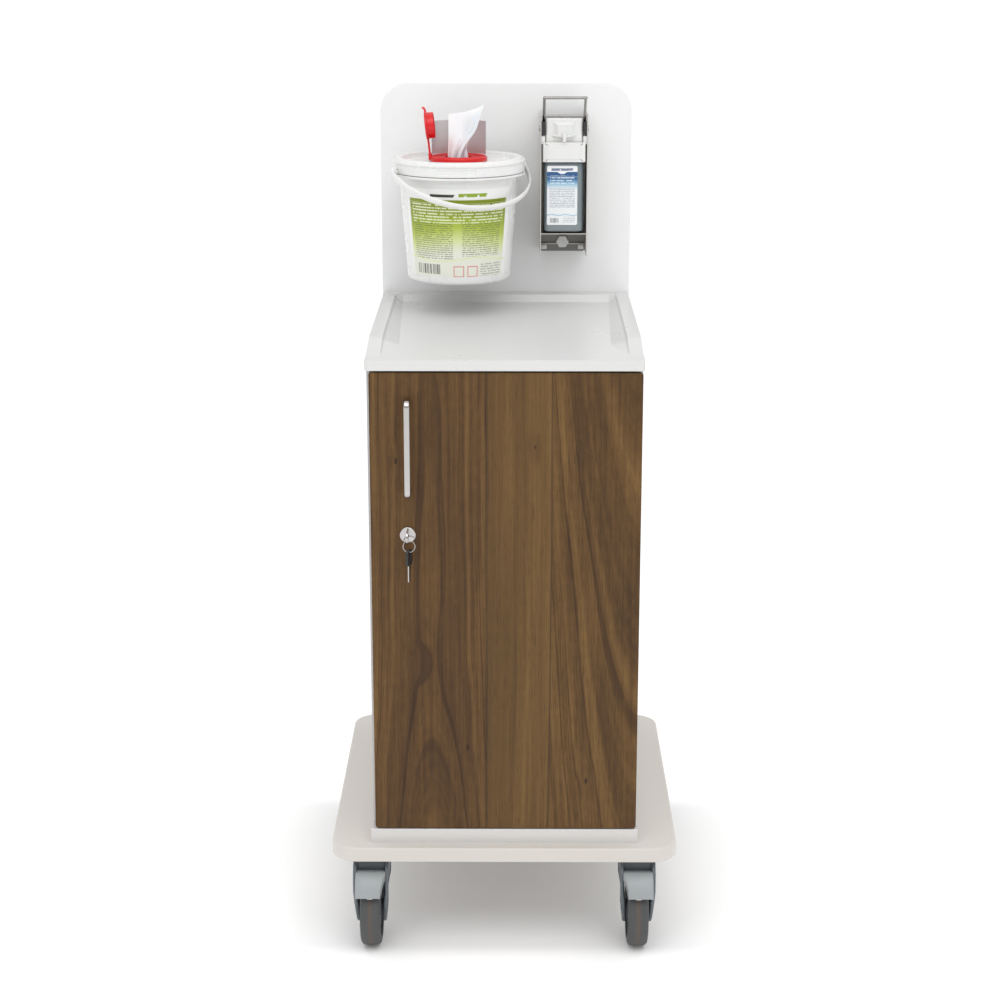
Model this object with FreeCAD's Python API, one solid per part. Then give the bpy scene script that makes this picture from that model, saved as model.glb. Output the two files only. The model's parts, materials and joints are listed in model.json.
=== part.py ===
"""Mobile bedside hygiene cabinet with splash panel, elbow dispenser and wipes bucket."""
import FreeCAD
import Part
import math
import os

V = FreeCAD.Vector

# ---- driving dimensions, mm ----
BASE_W = 574.0
BASE_D = 620.0
BASE_T = 25.0
BASE_R = 45.0
WHEEL_D = 125.0
TREAD_W = 34.0
TRAIL = 36.0
CASTOR_RISE = 35.0
CASTOR_INSET_X = 65.0
CASTOR_INSET_Y = 70.0
BODY_W = 436.0
BODY_FRONT_Y = -266.0
BODY_BACK_Y = 265.0
BOARD_T = 18.0
PLINTH_LIP = 3.0
PLINTH_T = 24.0
DOOR_H = 770.0
DOOR_T = 18.0
DOOR_GAP = 2.0
DOOR_TOP_GAP = 3.0
REVEAL_LEFT = 4.5
REVEAL_RIGHT = 0.5
TRAY_LIP = 2.0
TRAY_FRONT_Y = -290.0
TRAY_FLOOR_T = 17.5
RIM_H = 13.0
RIM_W = 22.0
PANEL_LIP = 4.5
PANEL_T = 10.0
PANEL_RISE = 401.0
PANEL_DROP = 104.0
PANEL_R = 50.0
HANDLE_L = 159.0
HANDLE_OUT = 30.0
HANDLE_W = 9.5
DISP_X = 101.2
DISP_W = 82.0
DISP_H = 245.0
DISP_UP = 108.6
DISP_DEPTH = 90.0
BUCKET_X = -81.0
BUCKET_UP = 78.0
BUCKET_BACK_GAP = 16.0
COLLAR_R = 114.0

# ---- named clearances, mm ----
RUN = 0.05
AIR = 0.5
DOOR_BACK_GAP = 2.5

# ---- dependent levels ----
WHEEL_R = WHEEL_D / 2
CASTOR_H = WHEEL_D + CASTOR_RISE
CASTOR_X = BASE_W / 2 - CASTOR_INSET_X
CASTOR_Y = BASE_D / 2 - CASTOR_INSET_Y
BASE_Z = CASTOR_H
PLINTH_Z = BASE_Z + BASE_T
CARCASS_Z = PLINTH_Z + PLINTH_T
DOOR_Z = CARCASS_Z + DOOR_GAP
TRAY_Z = DOOR_Z + DOOR_H + DOOR_TOP_GAP
PLINTH_W = BODY_W + 2 * PLINTH_LIP
TRAY_W = BODY_W + 2 * TRAY_LIP
PANEL_W = BODY_W + 2 * PANEL_LIP
FLOOR_Z = TRAY_Z + TRAY_FLOOR_T
RIM_Z = FLOOR_Z + RIM_H
TOP_BOARD_Z = TRAY_Z - BOARD_T
DOOR_BACK_Y = BODY_FRONT_Y - DOOR_BACK_GAP
DOOR_FRONT_Y = DOOR_BACK_Y - DOOR_T
DOOR_L = -BODY_W / 2 + REVEAL_LEFT
DOOR_R = BODY_W / 2 - REVEAL_RIGHT
PANEL_Y = BODY_BACK_Y
PANEL_TOP = TRAY_Z + PANEL_RISE
PANEL_BOTTOM = TRAY_Z - PANEL_DROP
DISP_Z = TRAY_Z + DISP_UP
BUCKET_Z = TRAY_Z + BUCKET_UP
BUCKET_Y = PANEL_Y - COLLAR_R - BUCKET_BACK_GAP
INNER_W = BODY_W - 2 * BOARD_T
PIVOT_X = DOOR_R - 5.0
PIVOT_Y = DOOR_FRONT_Y + 9.5
LOCK_X = DOOR_L + 59.0
LOCK_Z = DOOR_Z + 506.0
HANDLE_X = DOOR_L + 60.5
HANDLE_Z = DOOR_Z + 651.0
RING_Y = DOOR_FRONT_Y - 17.0
LID_Z = BUCKET_Z + 184.0
LID_TOP = LID_Z + 25.5
os.makedirs("parts", exist_ok=True)


def save(node, shape):
    shape.exportStep("parts/" + node + ".step")


def box(x0, x1, y0, y1, z0, z1):
    return Part.makeBox(x1 - x0, y1 - y0, z1 - z0, V(x0, y0, z0))


def cyl(r, start, end):
    a = V(*start)
    d = V(*end) - a
    return Part.makeCylinder(r, d.Length, a, d)


def tube(r_out, r_in, start, end):
    return cyl(r_out, start, end).cut(cyl(r_in, start, end))


def join(shapes):
    first = shapes[0]
    if len(shapes) == 1:
        return first
    return first.fuse(shapes[1:]).removeSplitter()


def rounded(shape, r, test):
    edges = [e for e in shape.Edges if test(e)]
    return shape.makeFillet(r, edges) if edges else shape


def chamfered(shape, r, test):
    edges = [e for e in shape.Edges if test(e)]
    return shape.makeChamfer(r, edges) if edges else shape


def along(edge, axis):
    a = edge.Vertexes[0].Point
    b = edge.Vertexes[-1].Point
    d = b - a
    if d.Length < 1e-6:
        return False
    return abs(abs(getattr(d, axis)) - d.Length) < 1e-4


def mid(edge):
    return edge.BoundBox.Center


def at_z(edge, z):
    b = edge.BoundBox
    return abs(b.ZMin - z) < 1e-4 and abs(b.ZMax - z) < 1e-4


def prism(points, direction):
    pts = [V(*p) for p in points]
    return Part.Face(Part.makePolygon(pts + [pts[0]])).extrude(V(*direction))


def hull_solid(faces):
    made = []
    for f in faces:
        pts = [V(*p) for p in f]
        made.append(Part.Face(Part.makePolygon(pts + [pts[0]])))
    return Part.makeSolid(Part.makeShell(made))


def revolve(profile, x, y):
    """Ring solid from (radius, height) points; the points run either way round."""
    area = sum(p[0] * q[1] - q[0] * p[1] for p, q in zip(profile, profile[1:] + profile[:1]))
    ordered = profile if area < 0 else profile[::-1]
    pts = [V(x + r, y, z) for r, z in ordered]
    face = Part.Face(Part.makePolygon(pts + [pts[0]]))
    return face.revolve(V(x, y, 0), V(0, 0, 1), 360)


def compound(shapes):
    return Part.makeCompound(shapes)


def turned(shape, centre, axis, angle):
    s = shape.copy()
    s.rotate(V(*centre), V(*axis), angle)
    return s


# ---- base and carcass ----
def base_plate():
    s = box(-BASE_W / 2, BASE_W / 2, -BASE_D / 2, BASE_D / 2, BASE_Z, BASE_Z + BASE_T)
    s = rounded(s, BASE_R, lambda e: along(e, "z"))
    s = rounded(s, 4.0, lambda e: at_z(e, BASE_Z + BASE_T))
    s = rounded(s, 2.0, lambda e: at_z(e, BASE_Z))
    for sx in (-1, 1):
        for sy in (-1, 1):
            x, y = sx * CASTOR_X, sy * CASTOR_Y
            s = s.cut(cyl(6.0 + RUN, (x, y, BASE_Z - 1), (x, y, BASE_Z + 18.0)))
    for x, y in BASE_SCREW_SPOTS:
        s = screw_pocket(s, x, y)
    save("base_plate", s)


def bottom_board():
    s = box(-PLINTH_W / 2, PLINTH_W / 2, DOOR_FRONT_Y, BODY_BACK_Y, PLINTH_Z, CARCASS_Z)
    s = rounded(s, 1.5, lambda e: at_z(e, CARCASS_Z) and abs(mid(e).y - DOOR_FRONT_Y) < 1e-3)
    s = s.cut(cyl(3.0 + RUN, (PIVOT_X, PIVOT_Y, CARCASS_Z - 14.0), (PIVOT_X, PIVOT_Y, CARCASS_Z)))
    for x, y in BASE_SCREW_SPOTS:
        s = screw_pocket(s, x, y)
    save("bottom_board", s)


SHELF_LEVELS = (CARCASS_Z + 235.0, CARCASS_Z + 425.0)
SHELF_FRONT_Y = BODY_FRONT_Y + 36.0
BACK_T = 5.0
SHELF_BACK_Y = BODY_BACK_Y - BACK_T - 3.0
PIN_YS = (SHELF_FRONT_Y + 40.0, SHELF_BACK_Y - 40.0)


def sides():
    made = []
    for sx in (-1, 1):
        x0 = sx * (BODY_W / 2 - BOARD_T)
        x1 = sx * BODY_W / 2
        s = box(min(x0, x1), max(x0, x1), BODY_FRONT_Y, BODY_BACK_Y, CARCASS_Z, TRAY_Z)
        for z in SHELF_LEVELS:
            for dz in (-64.0, -32.0, 0.0, 32.0, 64.0):
                for y in PIN_YS:
                    h = z + dz - 2.5
                    s = s.cut(cyl(2.5 + RUN, (x0 - sx * 1.0, y, h), (x0 + sx * 9.0, y, h)))
        made.append(s)
    save("side_boards", compound(made))


def carcass_boards():
    half = INNER_W / 2
    back_y = BODY_BACK_Y - BACK_T
    save("top_board", box(-half, half, BODY_FRONT_Y, back_y, TOP_BOARD_Z, TRAY_Z))
    save("back_board", box(-half, half, back_y, BODY_BACK_Y, CARCASS_Z, TRAY_Z))


def shelves():
    half = INNER_W / 2 - 1.0
    boards = []
    for z in SHELF_LEVELS:
        s = box(-half, half, SHELF_FRONT_Y, SHELF_BACK_Y, z, z + BOARD_T)
        boards.append(rounded(s, 1.0, lambda e: along(e, "x") and abs(mid(e).y - SHELF_FRONT_Y) < 1e-3))
    save("shelves", compound(boards))
    pins = []
    for z in SHELF_LEVELS:
        for sx in (-1, 1):
            for y in PIN_YS:
                xi = sx * INNER_W / 2
                stem = cyl(2.5, (xi + sx * 8.0, y, z - 2.5), (xi - sx * 9.0, y, z - 2.5))
                collar = cyl(4.0, (xi - sx * 0.2, y, z - 4.1), (xi - sx * 2.2, y, z - 4.1))
                pins.append(stem.fuse(collar))
    save("shelf_pins", compound(pins))


BASE_SCREW_SPOTS = [(x, y) for x in (-150.0, 150.0) for y in (-220.0, 0.0, 220.0)]


def screw_pocket(s, x, y):
    s = s.cut(cyl(6.2, (x, y, BASE_Z - 1), (x, y, BASE_Z + 4.0)))
    return s.cut(cyl(2.5 + RUN, (x, y, BASE_Z - 1), (x, y, CARCASS_Z - 4.0)))


def base_screws():
    made = []
    for x, y in BASE_SCREW_SPOTS:
        head = cyl(6.0, (x, y, BASE_Z + 0.6), (x, y, BASE_Z + 3.9))
        shank = cyl(2.5, (x, y, BASE_Z + 3.9), (x, y, CARCASS_Z - 5.0))
        made.append(head.fuse(shank).cut(cyl(2.0, (x, y, BASE_Z), (x, y, BASE_Z + 2.4))))
    return made


# ---- tray and splash panel ----
TRAY_BACK_Y = BODY_BACK_Y
REAR_RIM_W = 31.0
RAMP_TOP_Y = -150.0
RAMP_FOOT_Y = -239.0
SLOPE_REAR_X = TRAY_W / 2 - 36.0
SLOPE_FRONT_X = TRAY_W / 2 - 49.0
SLOPE_FRONT_Y = -170.0


def side_rim():
    xo, xi = TRAY_W / 2, TRAY_W / 2 - RIM_W
    yb = TRAY_BACK_Y
    zf, zt = FLOOR_Z, RIM_Z
    a, b = (xo, yb, zf), (xo, RAMP_FOOT_Y, zf)
    c, d, e = (xi, RAMP_FOOT_Y, zf), (SLOPE_FRONT_X, SLOPE_FRONT_Y, zf), (SLOPE_REAR_X, yb, zf)
    at, bt, ct, et = (xo, yb, zt), (xo, RAMP_TOP_Y, zt), (xi, RAMP_TOP_Y, zt), (xi, yb, zt)
    faces = [(a, b, c, d, e), (at, bt, ct, et), (a, b, bt, at), (b, c, ct, bt)]
    faces += [(c, d, ct), (ct, d, e), (ct, e, et), (a, e, et, at)]
    return hull_solid(faces)


def tray_top():
    slab = box(-TRAY_W / 2, TRAY_W / 2, TRAY_FRONT_Y, TRAY_BACK_Y, TRAY_Z, FLOOR_Z)
    slab = rounded(slab, 6.0, lambda e: along(e, "z") and mid(e).y < TRAY_FRONT_Y + 1)
    slab = chamfered(slab, 3.0, lambda e: at_z(e, TRAY_Z) and mid(e).y < TRAY_BACK_Y - 1)
    right = side_rim()
    left = right.mirror(V(0, 0, 0), V(1, 0, 0))
    foot = TRAY_BACK_Y - REAR_RIM_W - 8.0
    top = TRAY_BACK_Y - REAR_RIM_W
    hw = TRAY_W / 2 - 5.0
    rear = prism([(-hw, foot, FLOOR_Z), (-hw, TRAY_BACK_Y, FLOOR_Z), (-hw, TRAY_BACK_Y, RIM_Z),
                  (-hw, top, RIM_Z)], (2 * hw, 0, 0))
    s = join([slab, right, left, rear])
    s = s.cut(cyl(3.0 + RUN, (PIVOT_X, PIVOT_Y, TRAY_Z - 1), (PIVOT_X, PIVOT_Y, TRAY_Z + 13.0)))
    save("tray_top", s)


PANEL_SCREW_LEVELS = (PANEL_BOTTOM + 25.0, PANEL_BOTTOM + 85.0)
PANEL_SCREW_SPOTS = [(sx * (BODY_W / 2 - 9.0), z) for sx in (-1, 1) for z in PANEL_SCREW_LEVELS]


def splash_panel():
    s = box(-PANEL_W / 2, PANEL_W / 2, PANEL_Y, PANEL_Y + PANEL_T, PANEL_BOTTOM, PANEL_TOP)
    s = rounded(s, PANEL_R, lambda e: along(e, "y") and mid(e).z > PANEL_TOP - 1)
    s = rounded(s, 8.0, lambda e: along(e, "y") and mid(e).z < PANEL_BOTTOM + 1)
    s = rounded(s, 1.0, lambda e: abs(e.BoundBox.YMax - PANEL_Y) < 1e-4)
    save("splash_panel", s)


def panel_screws():
    made = []
    for x, z in PANEL_SCREW_SPOTS:
        y = PANEL_Y + PANEL_T + 0.1
        head = cyl(6.0, (x, y, z), (x, y + 3.0, z))
        hexhole = cyl(2.0, (x, y + 1.2, z), (x, y + 4.0, z))
        made.append(rounded(head, 1.2, lambda e: e.BoundBox.YMin > y + 2.9).cut(hexhole))
    return made


# ---- door ----
PIN_R = 3.0
PIN_UP = 12.0


def door_leaf():
    s = box(DOOR_L, DOOR_R, DOOR_FRONT_Y, DOOR_BACK_Y, DOOR_Z, DOOR_Z + DOOR_H)
    s = rounded(s, 4.5, lambda e: along(e, "y"))
    s = rounded(s, 1.0, lambda e: abs(e.BoundBox.YMax - DOOR_FRONT_Y) < 1e-4)
    s = s.cut(cyl(9.5 + RUN, (LOCK_X, DOOR_FRONT_Y - 1, LOCK_Z), (LOCK_X, DOOR_BACK_Y + 1, LOCK_Z)))
    for z0, z1 in ((DOOR_Z - 1, DOOR_Z + 16.0), (DOOR_Z + DOOR_H - 16.0, DOOR_Z + DOOR_H + 1)):
        s = s.cut(cyl(4.5 + RUN, (PIVOT_X, PIVOT_Y, z0), (PIVOT_X, PIVOT_Y, z1)))
    for z in handle_feet():
        s = s.cut(cyl(2.2, (HANDLE_X, DOOR_FRONT_Y - 1, z), (HANDLE_X, DOOR_BACK_Y + 1, z)))
    save("door_leaf", s)


def pivots():
    z_lo, z_hi = DOOR_Z, DOOR_Z + DOOR_H
    pins = [cyl(PIN_R, (PIVOT_X, PIVOT_Y, CARCASS_Z - 13.5), (PIVOT_X, PIVOT_Y, z_lo + PIN_UP)),
            cyl(PIN_R, (PIVOT_X, PIVOT_Y, z_hi - PIN_UP), (PIVOT_X, PIVOT_Y, TRAY_Z + 12.5))]
    save("pivot_pins", compound(pins))
    bushes = []
    for z0, z1, zb in ((z_lo + 0.2, z_lo + 15.8, z_lo), (z_hi - 15.8, z_hi - 0.2, z_hi)):
        b = cyl(4.5, (PIVOT_X, PIVOT_Y, z0), (PIVOT_X, PIVOT_Y, z1))
        inner = PIN_UP + 1.0 if zb == z_lo else -PIN_UP - 1.0
        bushes.append(b.cut(cyl(PIN_R + RUN, (PIVOT_X, PIVOT_Y, zb), (PIVOT_X, PIVOT_Y, zb + inner))))
    save("door_bushes", compound(bushes))


def handle_feet():
    return (HANDLE_Z - HANDLE_L / 2 + 6.0, HANDLE_Z + HANDLE_L / 2 - 6.0)


def door_handle():
    y0, y1 = DOOR_FRONT_Y - HANDLE_OUT, DOOR_FRONT_Y
    z0, z1 = HANDLE_Z - HANDLE_L / 2, HANDLE_Z + HANDLE_L / 2
    x0, x1 = HANDLE_X - HANDLE_W / 2, HANDLE_X + HANDLE_W / 2
    outer = box(x0, x1, y0, y1, z0, z1)
    outer = rounded(outer, 12.0, lambda e: along(e, "x") and mid(e).y < y0 + 1)
    inner = box(x0 - 1, x1 + 1, y0 + 8.0, y1 + 1, z0 + 12.0, z1 - 12.0)
    inner = rounded(inner, 6.0, lambda e: along(e, "x") and mid(e).y < y0 + 9)
    s = outer.cut(inner)
    s = rounded(s, 2.4, lambda e: e.BoundBox.YMax < y1 - 0.5 and not along(e, "x"))
    for z in handle_feet():
        s = s.cut(cyl(2.0 + RUN, (HANDLE_X, y1 - 12.0, z), (HANDLE_X, y1 + 1, z)))
    save("door_handle", s)
    made = []
    for z in handle_feet():
        shank = cyl(2.0, (HANDLE_X, y1 - 11.0, z), (HANDLE_X, DOOR_BACK_Y + 0.1, z))
        head = cyl(4.2, (HANDLE_X, DOOR_BACK_Y + 0.1, z), (HANDLE_X, DOOR_BACK_Y + 2.3, z))
        made.append(shank.fuse(head))
    save("handle_screws", compound(made))


def door_bumpers():
    made = []
    for z in (DOOR_Z + 40.0, DOOR_Z + DOOR_H - 40.0):
        x = DOOR_L + 6.0
        made.append(cyl(3.5, (x, DOOR_BACK_Y + 0.1, z), (x, DOOR_BACK_Y + 1.9, z)))
    save("door_bumpers", compound(made))


# ---- lock, key and ring ----
LOCK_BACK_Y = DOOR_BACK_Y + 13.0
CAM_Y = LOCK_BACK_Y + 0.5
KEEPER_TIP_X = -INNER_W / 2 + 15.0


def lock():
    f = DOOR_FRONT_Y
    x, z = LOCK_X, LOCK_Z
    case = cyl(9.5, (x, f - 1.0, z), (x, LOCK_BACK_Y, z))
    rose = cyl(13.0, (x, f - 2.8, z), (x, f - 0.1, z))
    rose = rounded(rose, 1.6, lambda e: e.BoundBox.YMax < f - 2.7)
    s = case.fuse(rose).cut(cyl(6.5 + RUN, (x, f - 4, z), (x, LOCK_BACK_Y + 1, z)))
    save("lock_case", s)
    nut = cyl(13.0, (x, DOOR_BACK_Y + 0.2, z), (x, DOOR_BACK_Y + 4.5, z))
    save("lock_nut", nut.cut(cyl(9.5 + RUN, (x, f, z), (x, LOCK_BACK_Y + 1, z))))
    plug = cyl(6.5, (x, f - 3.4, z), (x, CAM_Y, z))
    slot = box(x - 1.3, x + 1.3, f - 5.0, f + 20.0, z - 4.4, z + 4.4)
    plug = plug.fuse(cyl(3.0, (x, CAM_Y - 1, z), (x, CAM_Y + 4.0, z)))
    plug = plug.fuse(cyl(5.0, (x, CAM_Y + 2.7, z), (x, CAM_Y + 5.7, z)))
    save("lock_plug", plug.cut(slot))
    cam = box(x - 8.0, x + 8.0, CAM_Y + 0.1, CAM_Y + 2.6, z - 40.0, z + 8.0)
    cam = rounded(cam, 6.0, lambda e: along(e, "y"))
    save("lock_cam", cam.cut(cyl(3.0 + RUN, (x, CAM_Y - 1, z), (x, CAM_Y + 4.0, z))))
    wall = -INNER_W / 2
    leg = box(wall + 0.1, wall + 2.6, CAM_Y - 7.0, CAM_Y + 22.0, z - 18.0, z + 18.0)
    lip = box(wall + 0.1, KEEPER_TIP_X, CAM_Y - 7.0, CAM_Y - 4.5, z - 18.0, z + 18.0)
    save("lock_keeper", leg.fuse(lip).removeSplitter())


RING_R = 9.6
RING_LEAN = 16.0
WIRE_R = 0.7
KEY_HOLE_R = 3.0


def keys():
    f = DOOR_FRONT_Y
    x, z = LOCK_X, LOCK_Z
    bow = cyl(11.0, (x - 1.0, RING_Y + 0.5, z), (x + 1.0, RING_Y + 0.5, z))
    bow = bow.common(box(x - 2, x + 2, RING_Y - 12.0, f - 3.8, z - 12.0, z + 12.0))
    blade = box(x - 1.0, x + 1.0, f - 8.0, f + 18.0, z - 4.0, z + 4.0)
    hole = cyl(KEY_HOLE_R, (x - 2, RING_Y, z - 4.0), (x + 2, RING_Y, z - 4.0))
    save("key_in_lock", bow.fuse(blade).removeSplitter().cut(hole))
    top = z - 4.0 - KEY_HOLE_R + WIRE_R + 0.9
    zc = top - RING_R * math.cos(math.radians(RING_LEAN))
    x = x + RING_R * math.sin(math.radians(RING_LEAN))
    ring = Part.makeTorus(RING_R, WIRE_R, V(x, RING_Y, zc), V(0, 1, 0))
    save("key_ring", ring)
    zb = zc - RING_R
    head = box(x - 2.0, x + 2.0, RING_Y - 11.0, RING_Y + 11.0, zb - 22.0, zb + 4.5)
    head = rounded(head, 7.0, lambda e: along(e, "x"))
    head = rounded(head, 0.8, lambda e: not along(e, "x"))
    head = head.cut(cyl(KEY_HOLE_R, (x - 3, RING_Y, zb - 1.2), (x + 3, RING_Y, zb - 1.2)))
    slot = box(x - 0.9 - RUN, x + 0.9 + RUN, RING_Y - 4.1, RING_Y + 4.1, zb - 23.0, zb - 10.0)
    head = head.cut(slot)
    stem = box(x - 0.9, x + 0.9, RING_Y - 4.0, RING_Y + 4.0, zb - 49.0, zb - 10.1)
    for i in range(4):
        zt = zb - 30.0 - 4.5 * i
        stem = stem.cut(box(x - 2, x + 2, RING_Y + 2.2, RING_Y + 5.0, zt - 2.2, zt))
    spin = ((x, RING_Y, zb), (0, 0, 1), -18.0)
    save("spare_key_cap", turned(head, *spin))
    save("spare_key_blade", turned(stem, *spin))


# ---- elbow dispenser ----
DISP_T = 1.5
BACK_STEP = 40.0
KNOB_R = 11.5
DISP_FRONT_Y = PANEL_Y - DISP_DEPTH
DISP_TOP = DISP_Z + DISP_H
BOTTLE_Z = DISP_Z + 42.0
PUMP_W = 64.0
LEVER_Y = DISP_FRONT_Y + 32.0
LEVER_Z = DISP_TOP - 26.0
LEVER_HALF = PUMP_W / 2 + 3.2
LEVER_BAR_Y = DISP_FRONT_Y - 68.0
LEVER_BAR_Z = DISP_TOP + 35.0
PUMP_Y = DISP_FRONT_Y + 36.0


def hexagon(r, y):
    turns = [math.radians(60 * k) for k in range(6)]
    return [(DISP_X + r * math.cos(a), y, DISP_Z + 14.0 + r * math.sin(a)) for a in turns]


def housing():
    x0, x1 = DISP_X - DISP_W / 2, DISP_X + DISP_W / 2
    back = box(x0, x1, PANEL_Y - DISP_T - 0.3, PANEL_Y - 0.3, DISP_Z - 4.0, DISP_TOP - BACK_STEP)
    back = rounded(back, 6.0, lambda e: along(e, "y") and mid(e).z < DISP_Z)
    back = back.cut(prism(hexagon(KNOB_R + 0.2, PANEL_Y - 10.0), (0, 20.0, 0)))
    walls = []
    for xa in (x0, x1 - DISP_T):
        w = box(xa, xa + DISP_T, DISP_FRONT_Y, PANEL_Y - DISP_T - 0.3, DISP_Z, DISP_TOP)
        walls.append(w)
    ledge = box(x0, x1, DISP_FRONT_Y, PANEL_Y - 1.0, BOTTLE_Z - 3.5, BOTTLE_Z - 2.0)
    s = join([back] + walls + [ledge])
    s = s.cut(cyl(3.0 + RUN, (x0 - 5, LEVER_Y, LEVER_Z), (x1 + 5, LEVER_Y, LEVER_Z)))
    save("dispenser_housing", s)
    clips = []
    for sx in (-1, 1):
        xc = DISP_X + sx * (DISP_W / 2 - 8.0)
        clips.append(box(xc - 5.0, xc + 5.0, PANEL_Y - 12.0, PANEL_Y - 2.1, DISP_Z + 0.5, DISP_Z + 9.0))
    clips.append(prism(hexagon(KNOB_R, PANEL_Y - 6.0), (0, 5.7, 0)))
    save("dispenser_clips", compound(clips))


BOTTLE_W = 68.5
BOTTLE_H = 122.0


def bottle():
    x0, x1 = DISP_X - BOTTLE_W / 2, DISP_X + BOTTLE_W / 2
    y0, y1 = DISP_FRONT_Y + 4.0, PANEL_Y - 6.0
    s = box(x0, x1, y0, y1, BOTTLE_Z, BOTTLE_Z + BOTTLE_H)
    s = rounded(s, 14.0, lambda e: along(e, "z"))
    s = rounded(s, 5.0, lambda e: at_z(e, BOTTLE_Z))
    s = rounded(s, 8.0, lambda e: at_z(e, BOTTLE_Z + BOTTLE_H))
    neck = cyl(16.0, (DISP_X, PUMP_Y, BOTTLE_Z + BOTTLE_H - 2.0), (DISP_X, PUMP_Y, BOTTLE_Z + BOTTLE_H + 6.0))
    s = s.fuse(neck).removeSplitter()
    bore = cyl(9.0, (DISP_X, PUMP_Y, BOTTLE_Z + 12.0), (DISP_X, PUMP_Y, BOTTLE_Z + BOTTLE_H + 8.0))
    save("bottle", s.cut(bore))


COVER_Z = BOTTLE_Z + BOTTLE_H + 0.5
COVER_TOP = COVER_Z + 34.0
COVER_W = 74.4
POCKET_DEEP = 16.0
HEAD_IN = 7.0


def pump():
    x, y = DISP_X, PUMP_Y
    front = DISP_FRONT_Y
    head_y0, head_y1 = front + 2.0, front + 60.0
    cover = box(x - COVER_W / 2, x + COVER_W / 2, front - 4.0, front + 70.0, COVER_Z, COVER_TOP)
    cover = rounded(cover, 6.0, lambda e: along(e, "z"))
    cover = rounded(cover, 2.0, lambda e: at_z(e, COVER_TOP))
    panel = box(x - 26.0, x + 26.0, front - 5.2, front, COVER_Z + 6.0, COVER_TOP - 8.0)
    cover = cover.fuse(panel).removeSplitter()
    pocket = box(x - PUMP_W / 2 - AIR, x + PUMP_W / 2 + AIR, head_y0 - AIR, head_y1 + AIR,
                 COVER_TOP - POCKET_DEEP, COVER_TOP + 1)
    cover = cover.cut(rounded(pocket, 5.0, lambda e: along(e, "z")))
    cover = cover.cut(cyl(17.0, (x, y, COVER_Z - 1), (x, y, COVER_Z + 8.0)))
    cover = cover.cut(cyl(8.0 + RUN, (x, y, COVER_Z), (x, y, COVER_TOP + 1)))
    save("pump_cover", cover)
    seat_top = COVER_TOP - POCKET_DEEP
    seat = cyl(8.0, (x, y, COVER_Z - 20.0), (x, y, seat_top))
    dip = cyl(3.0, (x, y, BOTTLE_Z + 16.0), (x, y, COVER_Z - 19.0))
    body = seat.fuse(dip).removeSplitter()
    save("pump_cylinder", body.cut(cyl(5.0 + RUN, (x, y, COVER_Z - 16.0), (x, y, COVER_TOP + 1))))
    head_box = box(x - PUMP_W / 2, x + PUMP_W / 2, head_y0, head_y1, HEAD_Z, HEAD_TOP)
    head = rounded(head_box, 5.0, lambda e: along(e, "z"))
    recess = box(x - 10.0, x + 10.0, front - 1.0, front + 8.0, COVER_TOP + 19.0, COVER_TOP + 37.0)
    head = head.cut(recess)
    head = head.fuse(lip_shape(x, front))
    save("pump_head", head.fuse(cyl(5.0, (x, y, COVER_Z - 2.0), (x, y, HEAD_Z + 4.0))))


def lip_shape(x, front):
    """Spout lip, which hangs in front of the cover and clears its top edge at full stroke."""
    lens = Part.makeSphere(22.0, V(x, front + 12.0, COVER_TOP + 12.0))
    lens = lens.common(box(x - 24, x + 24, front - 12.0, front + 12.0, COVER_TOP + 8.5, COVER_TOP + 16.0))
    nozzle = cyl(4.0, (x, front - 8.5, COVER_TOP + 12.0), (x, front - 11.0, COVER_TOP + 1.0))
    return lens.fuse(nozzle)


STROKE = 8.0
PUSH_Y = LEVER_Y - 24.0
HEAD_Z = COVER_TOP - HEAD_IN
HEAD_TOP = COVER_TOP + 41.0


def lever():
    xl, xr = DISP_X - LEVER_HALF, DISP_X + LEVER_HALF
    r = 2.5
    pins = []
    for sx in (-1, 1):
        xa = DISP_X + sx * (DISP_W / 2 + 1.0)
        xb = DISP_X + sx * (LEVER_HALF - r)
        pin = cyl(3.0, (xa, LEVER_Y, LEVER_Z), (xb, LEVER_Y, LEVER_Z))
        cap = cyl(5.0, (xa - sx * 0.9, LEVER_Y, LEVER_Z), (xa + sx * 1.0, LEVER_Y, LEVER_Z))
        pins.append(pin.fuse(cap).removeSplitter())
    save("lever_pins", compound(pins))
    knee = (LEVER_BAR_Y + 22.0, LEVER_BAR_Z - 2.0)
    rod = (PUSH_Y, HEAD_TOP + AIR + r)
    joint_r = r + 0.15
    bar = cyl(r, (xl, LEVER_BAR_Y, LEVER_BAR_Z), (xr, LEVER_BAR_Y, LEVER_BAR_Z))
    s = cyl(r, (xl, *rod), (xr, *rod)).fuse(bar)
    for x in (xl, xr):
        for spot in (knee, rod, (LEVER_BAR_Y, LEVER_BAR_Z)):
            s = s.fuse(Part.makeSphere(joint_r, V(x, *spot)))
        s = s.fuse(cyl(r, (x, LEVER_Y, LEVER_Z), (x, *knee)))
        s = s.fuse(cyl(r, (x, *knee), (x, LEVER_BAR_Y, LEVER_BAR_Z)))
        s = s.fuse(cyl(r, (x, LEVER_Y, LEVER_Z), (x, *rod)))
        s = s.fuse(cyl(6.0, (x - r, LEVER_Y, LEVER_Z), (x + r, LEVER_Y, LEVER_Z)))
    s = s.cut(cyl(3.0 + RUN, (xl - 9, LEVER_Y, LEVER_Z), (xr + 9, LEVER_Y, LEVER_Z)))
    save("lever_frame", s)


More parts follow.
